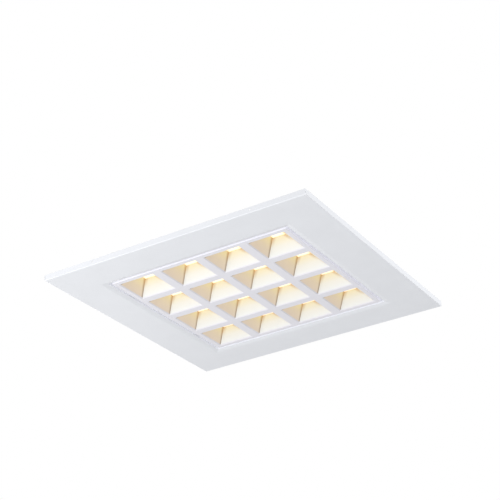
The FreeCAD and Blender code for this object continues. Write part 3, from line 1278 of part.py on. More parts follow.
def check_and_export():
    """Stop on any failed object or bad shape, then write one file for each sub-part."""
    doc.recompute()
    failed = [item.Label for item in doc.Objects if {"Invalid", "Error"} & set(item.State)]
    for label, feature in PARTS.items():
        shape = feature.Shape
        if shape.isNull() or not shape.isValid() or not shape.Solids:
            failed.append(label)
    if failed:
        sys.exit(f"failed: {', '.join(failed)}")
    os.makedirs("parts", exist_ok=True)
    for label, feature in PARTS.items():
        feature.Shape.exportStep(f"parts/{label}.step")
    print(f"{len(PARTS)} sub-parts written")


for make in (front_frame, louvre, reflector_strips, diffuser, louvre_hinges, catches, tray,
             tray_fixings, heat_plate, light_engine, wiring_box, wiring_cover, driver, terminals,
             earthing, box_leads, cable_openings, safety_eyes):
    make()
check_and_export()
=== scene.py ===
"""Looks of a recessed troffer light: finishes, softened edges, glowing cells and a plain studio.

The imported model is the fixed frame. Lengths are in metres, +Z up, with the light's face looking down.
"""

import json
import math

import bmesh
import bpy
from mathutils import Matrix, Vector

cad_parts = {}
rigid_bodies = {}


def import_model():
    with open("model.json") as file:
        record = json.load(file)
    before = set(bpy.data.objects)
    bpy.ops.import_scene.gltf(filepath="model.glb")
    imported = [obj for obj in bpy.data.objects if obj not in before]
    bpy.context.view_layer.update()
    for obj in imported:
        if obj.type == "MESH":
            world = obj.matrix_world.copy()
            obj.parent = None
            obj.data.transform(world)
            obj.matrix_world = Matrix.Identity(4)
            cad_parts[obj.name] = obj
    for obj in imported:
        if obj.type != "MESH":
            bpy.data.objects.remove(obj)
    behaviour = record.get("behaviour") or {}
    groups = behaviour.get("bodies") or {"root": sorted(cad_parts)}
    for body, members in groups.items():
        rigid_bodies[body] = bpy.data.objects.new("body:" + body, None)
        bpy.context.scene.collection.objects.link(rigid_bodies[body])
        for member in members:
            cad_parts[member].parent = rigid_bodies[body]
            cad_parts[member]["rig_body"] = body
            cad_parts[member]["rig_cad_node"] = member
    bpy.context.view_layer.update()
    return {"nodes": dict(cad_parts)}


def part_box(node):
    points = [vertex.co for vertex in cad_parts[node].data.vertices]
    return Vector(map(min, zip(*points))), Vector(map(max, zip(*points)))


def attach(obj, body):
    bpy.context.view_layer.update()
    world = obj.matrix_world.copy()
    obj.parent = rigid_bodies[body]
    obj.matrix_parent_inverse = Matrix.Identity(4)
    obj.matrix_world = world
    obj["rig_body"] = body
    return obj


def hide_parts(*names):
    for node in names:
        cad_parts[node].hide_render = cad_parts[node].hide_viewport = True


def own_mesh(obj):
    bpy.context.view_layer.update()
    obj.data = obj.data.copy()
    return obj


bl_info = {
    "name": "Recessed troffer light",
    "version": (1, 0, 0),
    "blender": (4, 5, 0),
    "location": "View3D > Sidebar > Troffer",
    "description": "Dresses the packed troffer light and sets it in a plain studio",
    "category": "Object",
}

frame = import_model()
NODES = frame["nodes"]
LOUVRE_LOW, LOUVRE_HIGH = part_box("louvre")
SHEET_LOW, SHEET_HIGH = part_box("diffuser")
MILLIMETRE = 0.001

# Cells of the louvre, and the part of the diffuser that each one shows
CELLS_A_SIDE = 4
CELL_PITCH = 0.1005
CELL_DEPTH = 0.0275
WINDOW_HALF = 0.0142

# Upstand of the frame round the opening, and the height where the sloping lip meets it
UPSTAND_INSIDE = 0.207
LIP_TOP = 0.0024

# Radii on the edges of galvanised sheet, of the wiring box and small mouldings, and of the driver
SHEET_ROUND = 0.0002
SMALL_ROUND = 0.0003
DRIVER_ROUND = 0.0005

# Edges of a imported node's copy that turn by more than the first angle get a radius, and by more than
# the second stay sharp. Edges of small forms stay sharp above the third.
ROUND_ABOVE = math.radians(35)
SHARP_ABOVE = math.radians(60)
SMALL_SHARP_ABOVE = math.radians(35)

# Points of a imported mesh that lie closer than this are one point
WELD_GAP = 0.002 * MILLIMETRE

# Range in which most values of a noise lie
NOISE_LOW, NOISE_HIGH = 0.3, 0.7

# Numbers of the two catches
CATCHES = (1, 2)

# Screws of each node: way that the heads point along Z, radius and rise of a head, radius of a shank,
# with the last three in millimetres
SCREWS = (
    ("plate_screws", 1, 3.4, 2.2, 1.5),
    ("box_screws", 1, 3.4, 2.2, 1.5),
    ("gear_screws", 1, 3.2, 2.2, 1.9),
    ("earth_screw", 1, 3.8, 2.6, 1.9),
    ("diffuser_screws", 1, 3.0, 2.0, 1.2),
    ("catch_screws", 1, 2.2, 1.3, 1.1),
    ("board_screws", -1, 2.8, 1.8, 1.5),
)


# Settings that a user would change


class CameraSettings(bpy.types.PropertyGroup):
    """Where the camera stands and how it is held."""

    azimuth: bpy.props.FloatProperty(
        name="Azimuth", description="Turn of the camera round the light",
        subtype="ANGLE", default=math.radians(29.705))
    elevation: bpy.props.FloatProperty(
        name="Elevation", description="Height angle of the camera, below the horizon when negative",
        subtype="ANGLE", default=math.radians(-27.201))
    roll: bpy.props.FloatProperty(
        name="Roll", description="Tilt of the picture", subtype="ANGLE", default=math.radians(-3.041))
    distance: bpy.props.FloatProperty(
        name="Distance", description="From the camera to its target", subtype="DISTANCE", default=2.7265)
    target: bpy.props.FloatVectorProperty(
        name="Target", description="Point in the middle of the picture", subtype="TRANSLATION",
        default=(0.10262, -0.16928, 0.0))
    lens: bpy.props.FloatProperty(
        name="Lens", description="Focal length in millimetres on a 36 mm sensor", default=101.6)


class StudioSettings(bpy.types.PropertyGroup):
    """Floor, backdrop and lamps."""

    floor_depth: bpy.props.FloatProperty(
        name="Floor depth", description="Floor below the light's face", subtype="DISTANCE", default=3.2)
    floor_width: bpy.props.FloatProperty(
        name="Floor width", description="Side of the square floor", subtype="DISTANCE", default=600.0)
    sky_light: bpy.props.FloatProperty(
        name="Sky light", description="Share of the white backdrop's light that falls on the scene",
        default=0.62)
    front_power: bpy.props.FloatProperty(
        name="Front power", description="Power of the large lamp below the front side", subtype="POWER",
        default=40.5)
    low_power: bpy.props.FloatProperty(
        name="Low power", description="Power of the lamp just under the left corner's level",
        subtype="POWER", default=6.6)
    fill_power: bpy.props.FloatProperty(
        name="Fill power", description="Power of the lamp below the right side", subtype="POWER",
        default=9.0)
    rim_power: bpy.props.FloatProperty(
        name="Rim power", description="Power of the lamp above the right side", subtype="POWER",
        default=30.0)
    gloss_power: bpy.props.FloatProperty(
        name="Gloss power", description="Power of the far low lamp that shines on the lips",
        subtype="POWER", default=7.0)
    top_power: bpy.props.FloatProperty(
        name="Top power", description="Power of the large lamp over the back", subtype="POWER",
        default=50.0)


class FinishSettings(bpy.types.PropertyGroup):
    """Colours and glow."""

    coat: bpy.props.FloatVectorProperty(
        name="Coat", description="White powder coat of the frame", subtype="COLOR",
        default=(0.792, 0.808, 0.845))
    moulding: bpy.props.FloatVectorProperty(
        name="Moulding", description="White plastic of the louvre", subtype="COLOR",
        default=(0.80, 0.795, 0.85))
    side_mouth: bpy.props.FloatVectorProperty(
        name="Side mouth", description="Tone of a cell's long side wall at its mouth",
        subtype="COLOR", default=(0.84, 0.855, 0.86))
    # Painted light: warm glow of the lit window painted on the long side walls
    side_painted_glow: bpy.props.FloatVectorProperty(
        name="Side deep", description="Tone of a cell's long side wall by its window",
        subtype="COLOR", default=(0.87, 0.77, 0.50))
    # Painted shade: the cross walls are painted darker and warmer than the long sides
    cross_shaded_mouth: bpy.props.FloatVectorProperty(
        name="Cross mouth", description="Tone of a cell's cross wall at its mouth",
        subtype="COLOR", default=(0.90, 0.76, 0.63))
    # Painted light: warm glow of the lit window painted on the cross walls
    cross_painted_glow: bpy.props.FloatVectorProperty(
        name="Cross deep", description="Tone of a cell's cross wall by its window",
        subtype="COLOR", default=(0.98, 0.84, 0.44))
    # Painted shade: brown along the corners between two walls, turning orange with painted warm light by
    # the window
    corner_shade_mouth: bpy.props.FloatVectorProperty(
        name="Fold mouth", description="Tone of the corner between two walls at the mouth",
        subtype="COLOR", default=(0.42, 0.34, 0.28))
    corner_shade_deep: bpy.props.FloatVectorProperty(
        name="Fold deep", description="Tone of the corner between two walls by the window",
        subtype="COLOR", default=(0.72, 0.45, 0.18))
    # Reach of the painted corner shade
    corner_shade_width: bpy.props.FloatProperty(
        name="Fold width", description="Reach of the corner tone on a cross wall",
        subtype="DISTANCE", default=0.005)
    glow: bpy.props.FloatVectorProperty(
        name="Glow", description="Colour of the lit windows", subtype="COLOR",
        default=(1.0, 0.86, 0.62))
    glow_rim: bpy.props.FloatVectorProperty(
        name="Glow rim", description="Colour of a lit window along its edges", subtype="COLOR",
        default=(0.85, 0.47, 0.16))
    glow_strength: bpy.props.FloatProperty(
        name="Glow strength", description="Brightness of the lit windows", default=0.95)
    chip_strength: bpy.props.FloatProperty(
        name="Chip strength", description="Brightness of the light chips", default=4.0)
    # Painted glow: emission colour on the frame's upstand and the louvre's skirt in the gap round the
    # louvre, in place of light from the cells
    gap_painted_glow: bpy.props.FloatVectorProperty(
        name="Leak", description="Light from the cells in the gap round the louvre",
        subtype="COLOR", default=(0.20, 0.20, 0.215))
    edge_round: bpy.props.FloatProperty(
        name="Edge round", description="Radius on the edges of mouldings", subtype="DISTANCE",
        default=0.0006)


# Building blocks for materials


def new_material(name):
    """Node material with its tree and its shader."""
    made = bpy.data.materials.new(name)
    made.use_nodes = True
    tree = made.node_tree
    return made, tree, tree.nodes["Principled BSDF"]


def add_node(tree, kind, inputs=None, **settings):
    """Node of a kind, with values for its sockets and its own settings."""
    made = tree.nodes.new(kind)
    for name, value in settings.items():
        setattr(made, name, value)
    for name, value in (inputs or {}).items():
        made.inputs[name].default_value = value
    return made


def grain(tree, size, detail=2.0, stretch=(1, 1, 1)):
    """Noise with features of one size, in metres, in the object's own space."""
    place = add_node(tree, "ShaderNodeTexCoord")
    mapping = add_node(tree, "ShaderNodeMapping", {"Scale": stretch})
    noise = add_node(tree, "ShaderNodeTexNoise", {"Scale": 1 / size, "Detail": detail})
    tree.links.new(place.outputs["Object"], mapping.inputs["Vector"])
    tree.links.new(mapping.outputs["Vector"], noise.inputs["Vector"])
    return noise.outputs["Fac"]


def between(tree, source, low, high, from_low=NOISE_LOW, from_high=NOISE_HIGH):
    """Number that runs from low to high as the source runs over its own range."""
    spread = add_node(tree, "ShaderNodeMapRange", {
        "From Min": from_low, "From Max": from_high, "To Min": low, "To Max": high})
    tree.links.new(source, spread.inputs["Value"])
    return spread.outputs["Result"]


def ramp(tree, source, *stops):
    """Colour that runs through stops of (place, colour)."""
    band = add_node(tree, "ShaderNodeValToRGB")
    elements = band.color_ramp.elements
    while len(elements) < len(stops):
        elements.new(0.5)
    for element, (place, colour) in zip(elements, stops):
        element.position = place
        element.color = (*colour, 1)
    tree.links.new(source, band.inputs["Fac"])
    return band.outputs["Color"]


def mottled(tree, noise, dark, light):
    """Colour that wavers between two with a noise."""
    return ramp(tree, noise, (NOISE_LOW, dark), (NOISE_HIGH, light))


def shade(colour, share):
    """Colour made lighter or darker by a share."""
    return tuple(min(1.0, part * share) for part in colour)


def bump(tree, shader, height, depth, strength):
    """Relief of a depth in metres, at a strength."""
    relief = add_node(tree, "ShaderNodeBump", {"Strength": strength, "Distance": depth})
    tree.links.new(height, relief.inputs["Height"])
    tree.links.new(relief.outputs["Normal"], shader.inputs["Normal"])


# Materials


def powder_coat(name, colour, peel=0.0007):
    """Satin powder coat with a slight orange peel, its tree and its shader."""
    made, tree, shader = new_material(name)
    wide = grain(tree, 0.06, 3)
    tree.links.new(mottled(tree, wide, shade(colour, 0.985), shade(colour, 1.01)),
                   shader.inputs["Base Color"])
    fine = grain(tree, peel)
    tree.links.new(between(tree, fine, 0.38, 0.46), shader.inputs["Roughness"])
    bump(tree, shader, fine, 0.00001, 0.35)
    shader.inputs["Specular IOR Level"].default_value = 0.45
    return made, tree, shader


def moulded_white(settings):
    """White plastic of the louvre's front grid, with a painted glow on its outer skirt in the gap round
    the louvre.
    """
    made, tree, shader = new_material("moulded_white")
    white = tuple(settings.moulding)
    wide = grain(tree, 0.05, 3)
    tree.links.new(mottled(tree, wide, shade(white, 0.985), shade(white, 1.01)),
                   shader.inputs["Base Color"])
    fine = grain(tree, 0.0009)
    tree.links.new(between(tree, fine, 0.33, 0.40), shader.inputs["Roughness"])
    bump(tree, shader, fine, 0.000008, 0.3)
    # Painted glow: emission on the louvre's outer skirt in the gap round it
    paint_gap_glow(tree, shader, settings, LOUVRE_HIGH.x - 0.2 * MILLIMETRE, LOUVRE_HIGH.x + MILLIMETRE,
              LOUVRE_LOW.z + 0.4 * MILLIMETRE)
    return made


def math_node(tree, operation, *sources):
    """Result of a sum on numbers and sockets."""
    made = add_node(tree, "ShaderNodeMath", operation=operation)
    for socket, source in zip(made.inputs, sources):
        if isinstance(source, (int, float)):
            socket.default_value = source
        else:
            tree.links.new(source, socket)
    return made.outputs["Value"]


def painted_light_along(tree, depth, mouth, deep):
    """Colour of a wall from the mouth of its cell to painted warm light by the lit window."""
    middle = tuple(0.7 * a + 0.3 * b for a, b in zip(mouth, deep))
    return ramp(tree, depth, (0.0, tuple(mouth)), (0.5, middle), (1.0, tuple(deep)))


def mix(tree, share, first, second):
    """Colour between two, by a share. Sockets go by number, because the node repeats their names."""
    made = add_node(tree, "ShaderNodeMix", data_type="RGBA")
    for socket, source in ((0, share), (6, first), (7, second)):
        tree.links.new(source, made.inputs[socket])
    return made.outputs[2]


def place_parts(tree):
    """Sockets of the place in the object's own space, one for each axis."""
    place = add_node(tree, "ShaderNodeTexCoord")
    parts = add_node(tree, "ShaderNodeSeparateXYZ")
    tree.links.new(place.outputs["Object"], parts.inputs["Vector"])
    return parts.outputs


def cell_offsets(tree):
    """Distances along X and Y from the middle of the nearest cell."""
    parts = place_parts(tree)
    for axis in ("X", "Y"):
        shifted = math_node(tree, "ADD", parts[axis], CELLS_A_SIDE / 2 * CELL_PITCH)
        within = math_node(tree, "FLOORED_MODULO", shifted, CELL_PITCH)
        yield math_node(tree, "ABSOLUTE", math_node(tree, "SUBTRACT", within, CELL_PITCH / 2))


def paint_gap_glow(tree, shader, settings, low_reach, high_reach, level):
    """Painted glow: faint emission on what stands behind the gap round the louvre, between two reaches
    from the middle, in place of light from the cells.
    """
    parts = place_parts(tree)
    reach = math_node(tree, "MAXIMUM", *(math_node(tree, "ABSOLUTE", parts[axis]) for axis in ("X", "Y")))
    within = math_node(tree, "MULTIPLY", math_node(tree, "GREATER_THAN", reach, low_reach),
                       math_node(tree, "LESS_THAN", reach, high_reach))
    share = math_node(tree, "MULTIPLY", within, math_node(tree, "GREATER_THAN", parts["Z"], level))
    tree.links.new(ramp(tree, share, (0.0, (0, 0, 0)), (1.0, tuple(settings.gap_painted_glow))),
                   shader.inputs["Emission Color"])
    shader.inputs["Emission Strength"].default_value = 1.0


def reflector(settings):
    """Moulded cell walls with painted light and shade: pale long sides, cross walls darker and warmer
    with painted shade, painted brown shade along the corners between them, painted warm light from the
    lit window deeper in, and a plain back."""
    made, tree, shader = new_material("reflector")
    lead = math_node(tree, "SUBTRACT", *cell_offsets(tree))
    depth = between(tree, place_parts(tree)["Z"], 0, 1, SHEET_LOW.z - CELL_DEPTH, SHEET_LOW.z)
    # Painted light: each wall's tone runs to painted warm light by the lit window
    side = painted_light_along(tree, depth, settings.side_mouth, settings.side_painted_glow)
    cross = painted_light_along(tree, depth, settings.cross_shaded_mouth, settings.cross_painted_glow)
    corner_shade = painted_light_along(tree, depth, settings.corner_shade_mouth, settings.corner_shade_deep)
    # Painted shade along the corners between walls: wider deeper in, and on the long sides only by the
    # window
    widening = math_node(tree, "ADD", math_node(tree, "MULTIPLY", depth, 0.8), 1.0)
    spread = math_node(tree, "DIVIDE", math_node(tree, "ABSOLUTE", lead), widening)
    corner_shade_mask = between(tree, spread, 1, 0, settings.corner_shade_width * 0.3, settings.corner_shade_width)
    cross = mix(tree, corner_shade_mask, cross, corner_shade)
    deep_corner_shade_mask = math_node(tree, "MULTIPLY", corner_shade_mask, between(tree, depth, 0, 0.75, 0.55, 1.0))
    side = mix(tree, deep_corner_shade_mask, side, corner_shade)
    # Cross walls take the darker, warmer tones: painted shade
    is_cross = between(tree, lead, 0, 1, -0.3 * MILLIMETRE, 0.3 * MILLIMETRE)
    facing = add_node(tree, "ShaderNodeSeparateXYZ")
    tree.links.new(add_node(tree, "ShaderNodeTexCoord").outputs["Normal"], facing.inputs["Vector"])
    is_inner = between(tree, facing.outputs["Z"], 1, 0, -0.2, 0)
    fine = grain(tree, 0.0009)
    back = mottled(tree, fine, shade(settings.side_mouth, 0.97), tuple(settings.side_mouth))
    tones = mix(tree, is_cross, side, cross)
    tree.links.new(mix(tree, is_inner, back, tones), shader.inputs["Base Color"])
    tree.links.new(between(tree, fine, 0.36, 0.44), shader.inputs["Roughness"])
    bump(tree, shader, fine, 0.000008, 0.3)
    return made


def plain_plastic(name, colour, roughness=0.45, spark=0.0006):
    """Moulded plastic with a fine spark finish."""
    made, tree, shader = new_material(name)
    fine = grain(tree, spark, 3)
    wide = grain(tree, 0.02)
    tree.links.new(mottled(tree, wide, shade(colour, 0.96), shade(colour, 1.02)),
                   shader.inputs["Base Color"])
    tree.links.new(between(tree, fine, roughness - 0.06, roughness + 0.06), shader.inputs["Roughness"])
    bump(tree, shader, fine, 0.00002, 0.4)
    return made


def galvanised():
    """Zinc-dipped sheet with a spangle of crystals."""
    made, tree, shader = new_material("galvanised")
    crystals_a_metre = 95.0
    place = add_node(tree, "ShaderNodeTexCoord")
    crystals = add_node(tree, "ShaderNodeTexVoronoi", {"Scale": crystals_a_metre, "Randomness": 1.0})
    tree.links.new(place.outputs["Object"], crystals.inputs["Vector"])
    parts = add_node(tree, "ShaderNodeSeparateColor")
    tree.links.new(crystals.outputs["Color"], parts.inputs["Color"])
    tone = parts.outputs["Red"]
    tree.links.new(ramp(tree, tone, (0.0, (0.44, 0.455, 0.47)), (1.0, (0.60, 0.615, 0.63))),
                   shader.inputs["Base Color"])
    tree.links.new(between(tree, parts.outputs["Green"], 0.38, 0.54, 0, 1), shader.inputs["Roughness"])
    bump(tree, shader, grain(tree, 0.004, 4), 0.00004, 0.25)
    shader.inputs["Metallic"].default_value = 0.9
    return made


def bright_metal(name, colour, roughness=0.28, streak=(1, 1, 1)):
    """Plated or turned metal with fine wear."""
    made, tree, shader = new_material(name)
    fine = grain(tree, 0.0008, 4, streak)
    wide = grain(tree, 0.006, 3)
    tree.links.new(mottled(tree, wide, shade(colour, 0.90), shade(colour, 1.05)),
                   shader.inputs["Base Color"])
    tree.links.new(between(tree, fine, roughness - 0.06, roughness + 0.1), shader.inputs["Roughness"])
    bump(tree, shader, fine, 0.00001, 0.25)
    shader.inputs["Metallic"].default_value = 1.0
    return made


def insulation(name, colour, stripe=None):
    """Smooth lead insulation, with a stripe where the lead has one."""
    made, tree, shader = new_material(name)
    fine = grain(tree, 0.0012)
    if stripe:
        stripe_scale = 160.0
        place = add_node(tree, "ShaderNodeTexCoord")
        waves = add_node(tree, "ShaderNodeTexWave", {"Scale": stripe_scale, "Distortion": 0.4},
                         bands_direction="Y")
        tree.links.new(place.outputs["Object"], waves.inputs["Vector"])
        colours = ramp(tree, waves.outputs["Fac"], (0.45, colour), (0.55, stripe))
    else:
        colours = mottled(tree, fine, shade(colour, 0.92), shade(colour, 1.05))
    tree.links.new(colours, shader.inputs["Base Color"])
    tree.links.new(between(tree, fine, 0.36, 0.46), shader.inputs["Roughness"])
    bump(tree, shader, fine, 0.00001, 0.2)
    return made


def black_rubber():
    """Soft dark rubber with a dusty bloom."""
    made, tree, shader = new_material("black_rubber")
    wide = grain(tree, 0.004, 4)
    tree.links.new(ramp(tree, wide, (0.35, (0.018, 0.018, 0.019)), (0.75, (0.05, 0.05, 0.052))),
                   shader.inputs["Base Color"])
    tree.links.new(between(tree, wide, 0.55, 0.75), shader.inputs["Roughness"])
    bump(tree, shader, grain(tree, 0.0008), 0.00002, 0.4)
    return made


def circuit_board():
    """White solder mask with faint tracks under it."""
    made, tree, shader = new_material("circuit_board")
    place = add_node(tree, "ShaderNodeTexCoord")
    tracks = add_node(tree, "ShaderNodeTexBrick", {
        "Scale": 1.0, "Brick Width": 0.0125, "Row Height": 0.0042, "Mortar Size": 0.0005,
        "Color1": (0.84, 0.85, 0.83, 1), "Color2": (0.80, 0.81, 0.79, 1),
        "Mortar": (0.70, 0.72, 0.70, 1)})
    tree.links.new(place.outputs["Object"], tracks.inputs["Vector"])
    tree.links.new(tracks.outputs["Color"], shader.inputs["Base Color"])
    tree.links.new(between(tree, grain(tree, 0.0015), 0.3, 0.42), shader.inputs["Roughness"])
    bump(tree, shader, tracks.outputs["Fac"], 0.00003, 0.4)
    return made


def phosphor(settings):
    """Yellow phosphor under clear resin, lit."""
    made, tree, shader = new_material("phosphor")
    fine = grain(tree, 0.0007, 3)
    tree.links.new(mottled(tree, fine, (0.86, 0.60, 0.10), (0.95, 0.74, 0.20)),
                   shader.inputs["Base Color"])
    tree.links.new(between(tree, fine, 0.12, 0.2), shader.inputs["Roughness"])
    shader.inputs["Coat Weight"].default_value = 0.6
    tree.links.new(mottled(tree, fine, shade(settings.glow, 0.95), tuple(settings.glow)),
                   shader.inputs["Emission Color"])
    shader.inputs["Emission Strength"].default_value = settings.chip_strength
    return made


def opal_sheet():
    """Milky acrylic sheet."""
    made, tree, shader = new_material("opal_sheet")
    wide = grain(tree, 0.03)
    tree.links.new(mottled(tree, wide, (0.86, 0.85, 0.82), (0.89, 0.88, 0.85)),
                   shader.inputs["Base Color"])
    tree.links.new(between(tree, grain(tree, 0.001), 0.22, 0.3), shader.inputs["Roughness"])
    shader.inputs["Subsurface Weight"].default_value = 0.2
    shader.inputs["Subsurface Radius"].default_value = (0.004, 0.004, 0.003)
    return made


def lit_window(settings):
    """Part of the opal sheet that a cell looks at, lit from behind, dimmer along its edges."""
    made, tree, shader = new_material("lit_window")
    edge = 5 * MILLIMETRE
    wide = grain(tree, 0.02)
    reach = math_node(tree, "MAXIMUM", *cell_offsets(tree))
    inward = between(tree, reach, 1, 0, WINDOW_HALF - edge, WINDOW_HALF)
    middle = tuple(0.45 * a + 0.55 * b for a, b in zip(settings.glow_rim, settings.glow))
    tree.links.new(ramp(tree, inward, (0.0, tuple(settings.glow_rim)), (0.35, middle),
                        (1.0, tuple(settings.glow))), shader.inputs["Emission Color"])
    tree.links.new(mottled(tree, wide, (0.60, 0.55, 0.42), (0.62, 0.57, 0.44)),
                   shader.inputs["Base Color"])
    shader.inputs["Emission Strength"].default_value = settings.glow_strength
    shader.inputs["Roughness"].default_value = 0.3
    return made


# Building blocks for pieces


def paint(target, *materials):
    """Give an object its materials, in slot order. Clearing sends every face to the first slot, so a new
    mesh, whose faces have their slots already, isn't cleared."""
    if target.data.materials:
        target.data.materials.clear()
    for material in materials:
        target.data.materials.append(material)


def numbered(stem):
    """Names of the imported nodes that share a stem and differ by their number."""
    return sorted(name for name in NODES if name.startswith(f"{stem}_"))


def finish_nodes(material, *names):
    """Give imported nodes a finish."""
    for name in names:
        paint(NODES[name], material)


def softened(node, width, material):
    """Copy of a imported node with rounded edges, which stands for it."""
    source = NODES[node]
    made = source.copy()
    made.data = source.data.copy()
    made.name = f"{node}_dressed"
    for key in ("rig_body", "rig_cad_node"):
        if key in made:
            del made[key]
    made.parent = None
    bpy.context.scene.collection.objects.link(made)
    mesh = bmesh.new()
    mesh.from_mesh(made.data)
    bmesh.ops.remove_doubles(mesh, verts=mesh.verts, dist=WELD_GAP)
    for face in mesh.faces:
        face.smooth = True
    mesh.to_mesh(made.data)
    mesh.free()
    made.data.validate()
    rounding = made.modifiers.new("edge_round", "BEVEL")
    rounding.width = width
    rounding.segments = 2
    rounding.limit_method = "ANGLE"
    rounding.angle_limit = ROUND_ABOVE
    rounding.miter_outer = "MITER_ARC"
    made.data.set_sharp_from_angle(angle=SHARP_ABOVE)
    shading = made.modifiers.new("flat_faces", "WEIGHTED_NORMAL")
    shading.mode = "FACE_AREA"
    shading.keep_sharp = True
    paint(made, material)
    settle(made, node)


def settle(piece, node):
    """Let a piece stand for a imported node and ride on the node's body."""
    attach(piece, NODES[node]["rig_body"])
    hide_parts(node)


def mesh_object(name, mesh):
    """Object from a finished bmesh."""
    data = bpy.data.meshes.new(name)
    mesh.to_mesh(data)
    mesh.free()
    made = bpy.data.objects.new(name, data)
    bpy.context.scene.collection.objects.link(made)
    return made


def solids_of(node):
    """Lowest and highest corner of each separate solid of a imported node."""
    mesh = bmesh.new()
    mesh.from_mesh(NODES[node].data)
    bmesh.ops.remove_doubles(mesh, verts=mesh.verts, dist=WELD_GAP)
    mesh.verts.index_update()
    seen = set()
    boxes = []
    for start in mesh.verts:
        if start.index in seen:
            continue
        seen.add(start.index)
        solid = [start]
        for vert in solid:
            for edge in vert.link_edges:
                other = edge.other_vert(vert)
                if other.index not in seen:
                    seen.add(other.index)
                    solid.append(other)
        boxes.append([Vector([pick(vert.co[axis] for vert in solid) for axis in range(3)])
                      for pick in (min, max)])
    mesh.free()
    return boxes


def turned(mesh, pose, profile, steps=24, closed=False, finish=0):
    """Round form about the pose's Z through (radius, height) points, either of which may be a function
    of the angle. Gives back its rings."""
    rings = []
    angles = [math.tau * number / steps for number in range(steps)]
    for radius, height in profile:
        ring = []
        for angle in angles if radius else angles[:1]:
            reach = radius(angle) if callable(radius) else radius
            level = height(angle) if callable(height) else height
            ring.append(mesh.verts.new(pose @ Vector((reach * math.cos(angle), reach * math.sin(angle),
                                                      level))))
        rings.append(ring)
    for first, second in zip(rings, rings[1:] + rings[:1] if closed else rings[1:]):
        for number in range(steps):
            corners = (first[number % len(first)], first[(number + 1) % len(first)],
                       second[(number + 1) % len(second)], second[number % len(second)])
            mesh.faces.new(list(dict.fromkeys(corners))).material_index = finish
    return rings


def add_ring(mesh, pose, outline, height):
    """Points of an outline at a height."""
    return [mesh.verts.new(pose @ Vector((*point, height))) for point in outline]


def add_wall(mesh, first, second, finish=0):
    """Faces between two rings that have as many points."""
    for number in range(len(first)):
        mesh.faces.new((first[number - 1], first[number], second[number],
                        second[number - 1])).material_index = finish


def sink(mesh, pose, ring, height, outlines, depth, draw=0.8):
    """Close a ring with a flat end that has recesses of the outlines in it, drawn in at their floors."""
    edges = [mesh.edges.get((ring[number - 1], ring[number])) for number in range(len(ring))]
    for outline in outlines:
        middle = Vector([sum(point[axis] for point in outline) / len(outline) for axis in (0, 1)])
        rim = add_ring(mesh, pose, outline, height)
        floor = add_ring(mesh, pose, [middle + (Vector(point) - middle) * draw for point in outline],
                         height - depth)
        edges += [mesh.edges.new((rim[number - 1], rim[number])) for number in range(len(rim))]
        add_wall(mesh, rim, floor)
        mesh.faces.new(floor)
    bmesh.ops.triangle_fill(mesh, use_beauty=True, edges=edges)


def four_fold(*points):
    """Outline of points repeated in four quarter turns."""
    return [(x * along - y * across, x * across + y * along)
            for along, across in ((1, 0), (0, 1), (-1, 0), (0, -1)) for x, y in points]


def box_outline(x_reach, y_reach, x=0.0, y=0.0):
    """Outline of a rectangle about a point."""
    return [(x - x_reach, y - y_reach), (x + x_reach, y - y_reach),
            (x + x_reach, y + y_reach), (x - x_reach, y + y_reach)]


def thread(shank, start, end, pitch):
    """Points of a thread down from a start to a flat end with its pole."""
    root = shank - 0.5 * pitch
    turns = max(1, int((start - end) / pitch) - 1)
    points = [(root, start)]
    for number in range(turns):
        points += [(shank, start - (number + 0.5) * pitch), (root, start - (number + 1) * pitch)]
    return points + [(root, end), (0, end)]


def pan_screw(mesh, pose, head, rise, shank, length):
    """Pan screw with a cross recess, seated at the pose's origin with its tip down."""
    crown = [(0.66 * head, rise), (0.84 * head, 0.9 * rise), (0.96 * head, 0.62 * rise),
             (head, 0.3 * rise), (head, 0)]
    rings = turned(mesh, pose, crown + thread(shank, 0, -length, 0.28 * shank))
    arm, half = 0.52 * head, 0.12 * head
    cross = four_fold((arm, -half), (arm, half), (half, half))
    sink(mesh, pose, rings[0], rise, [cross], 0.55 * rise)


def seated(point, direction=(0, 0, 1)):
    """Pose at a point, with its Z along a direction."""
    turn = Vector(direction).to_track_quat("Z", "Y").to_matrix().to_4x4()
    return Matrix.Translation(point) @ turn


def small_piece(name, mesh, node, slot, *materials):
    """Object from a bmesh of small forms, smooth where round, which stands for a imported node."""
    bmesh.ops.recalc_face_normals(mesh, faces=mesh.faces)
    for face in mesh.faces:
        face.smooth = True
    made = mesh_object(name, mesh)
    made.data.set_sharp_from_angle(angle=SMALL_SHARP_ABOVE)
    paint(made, *materials)
    settle(made, node)
    return made


# Operators


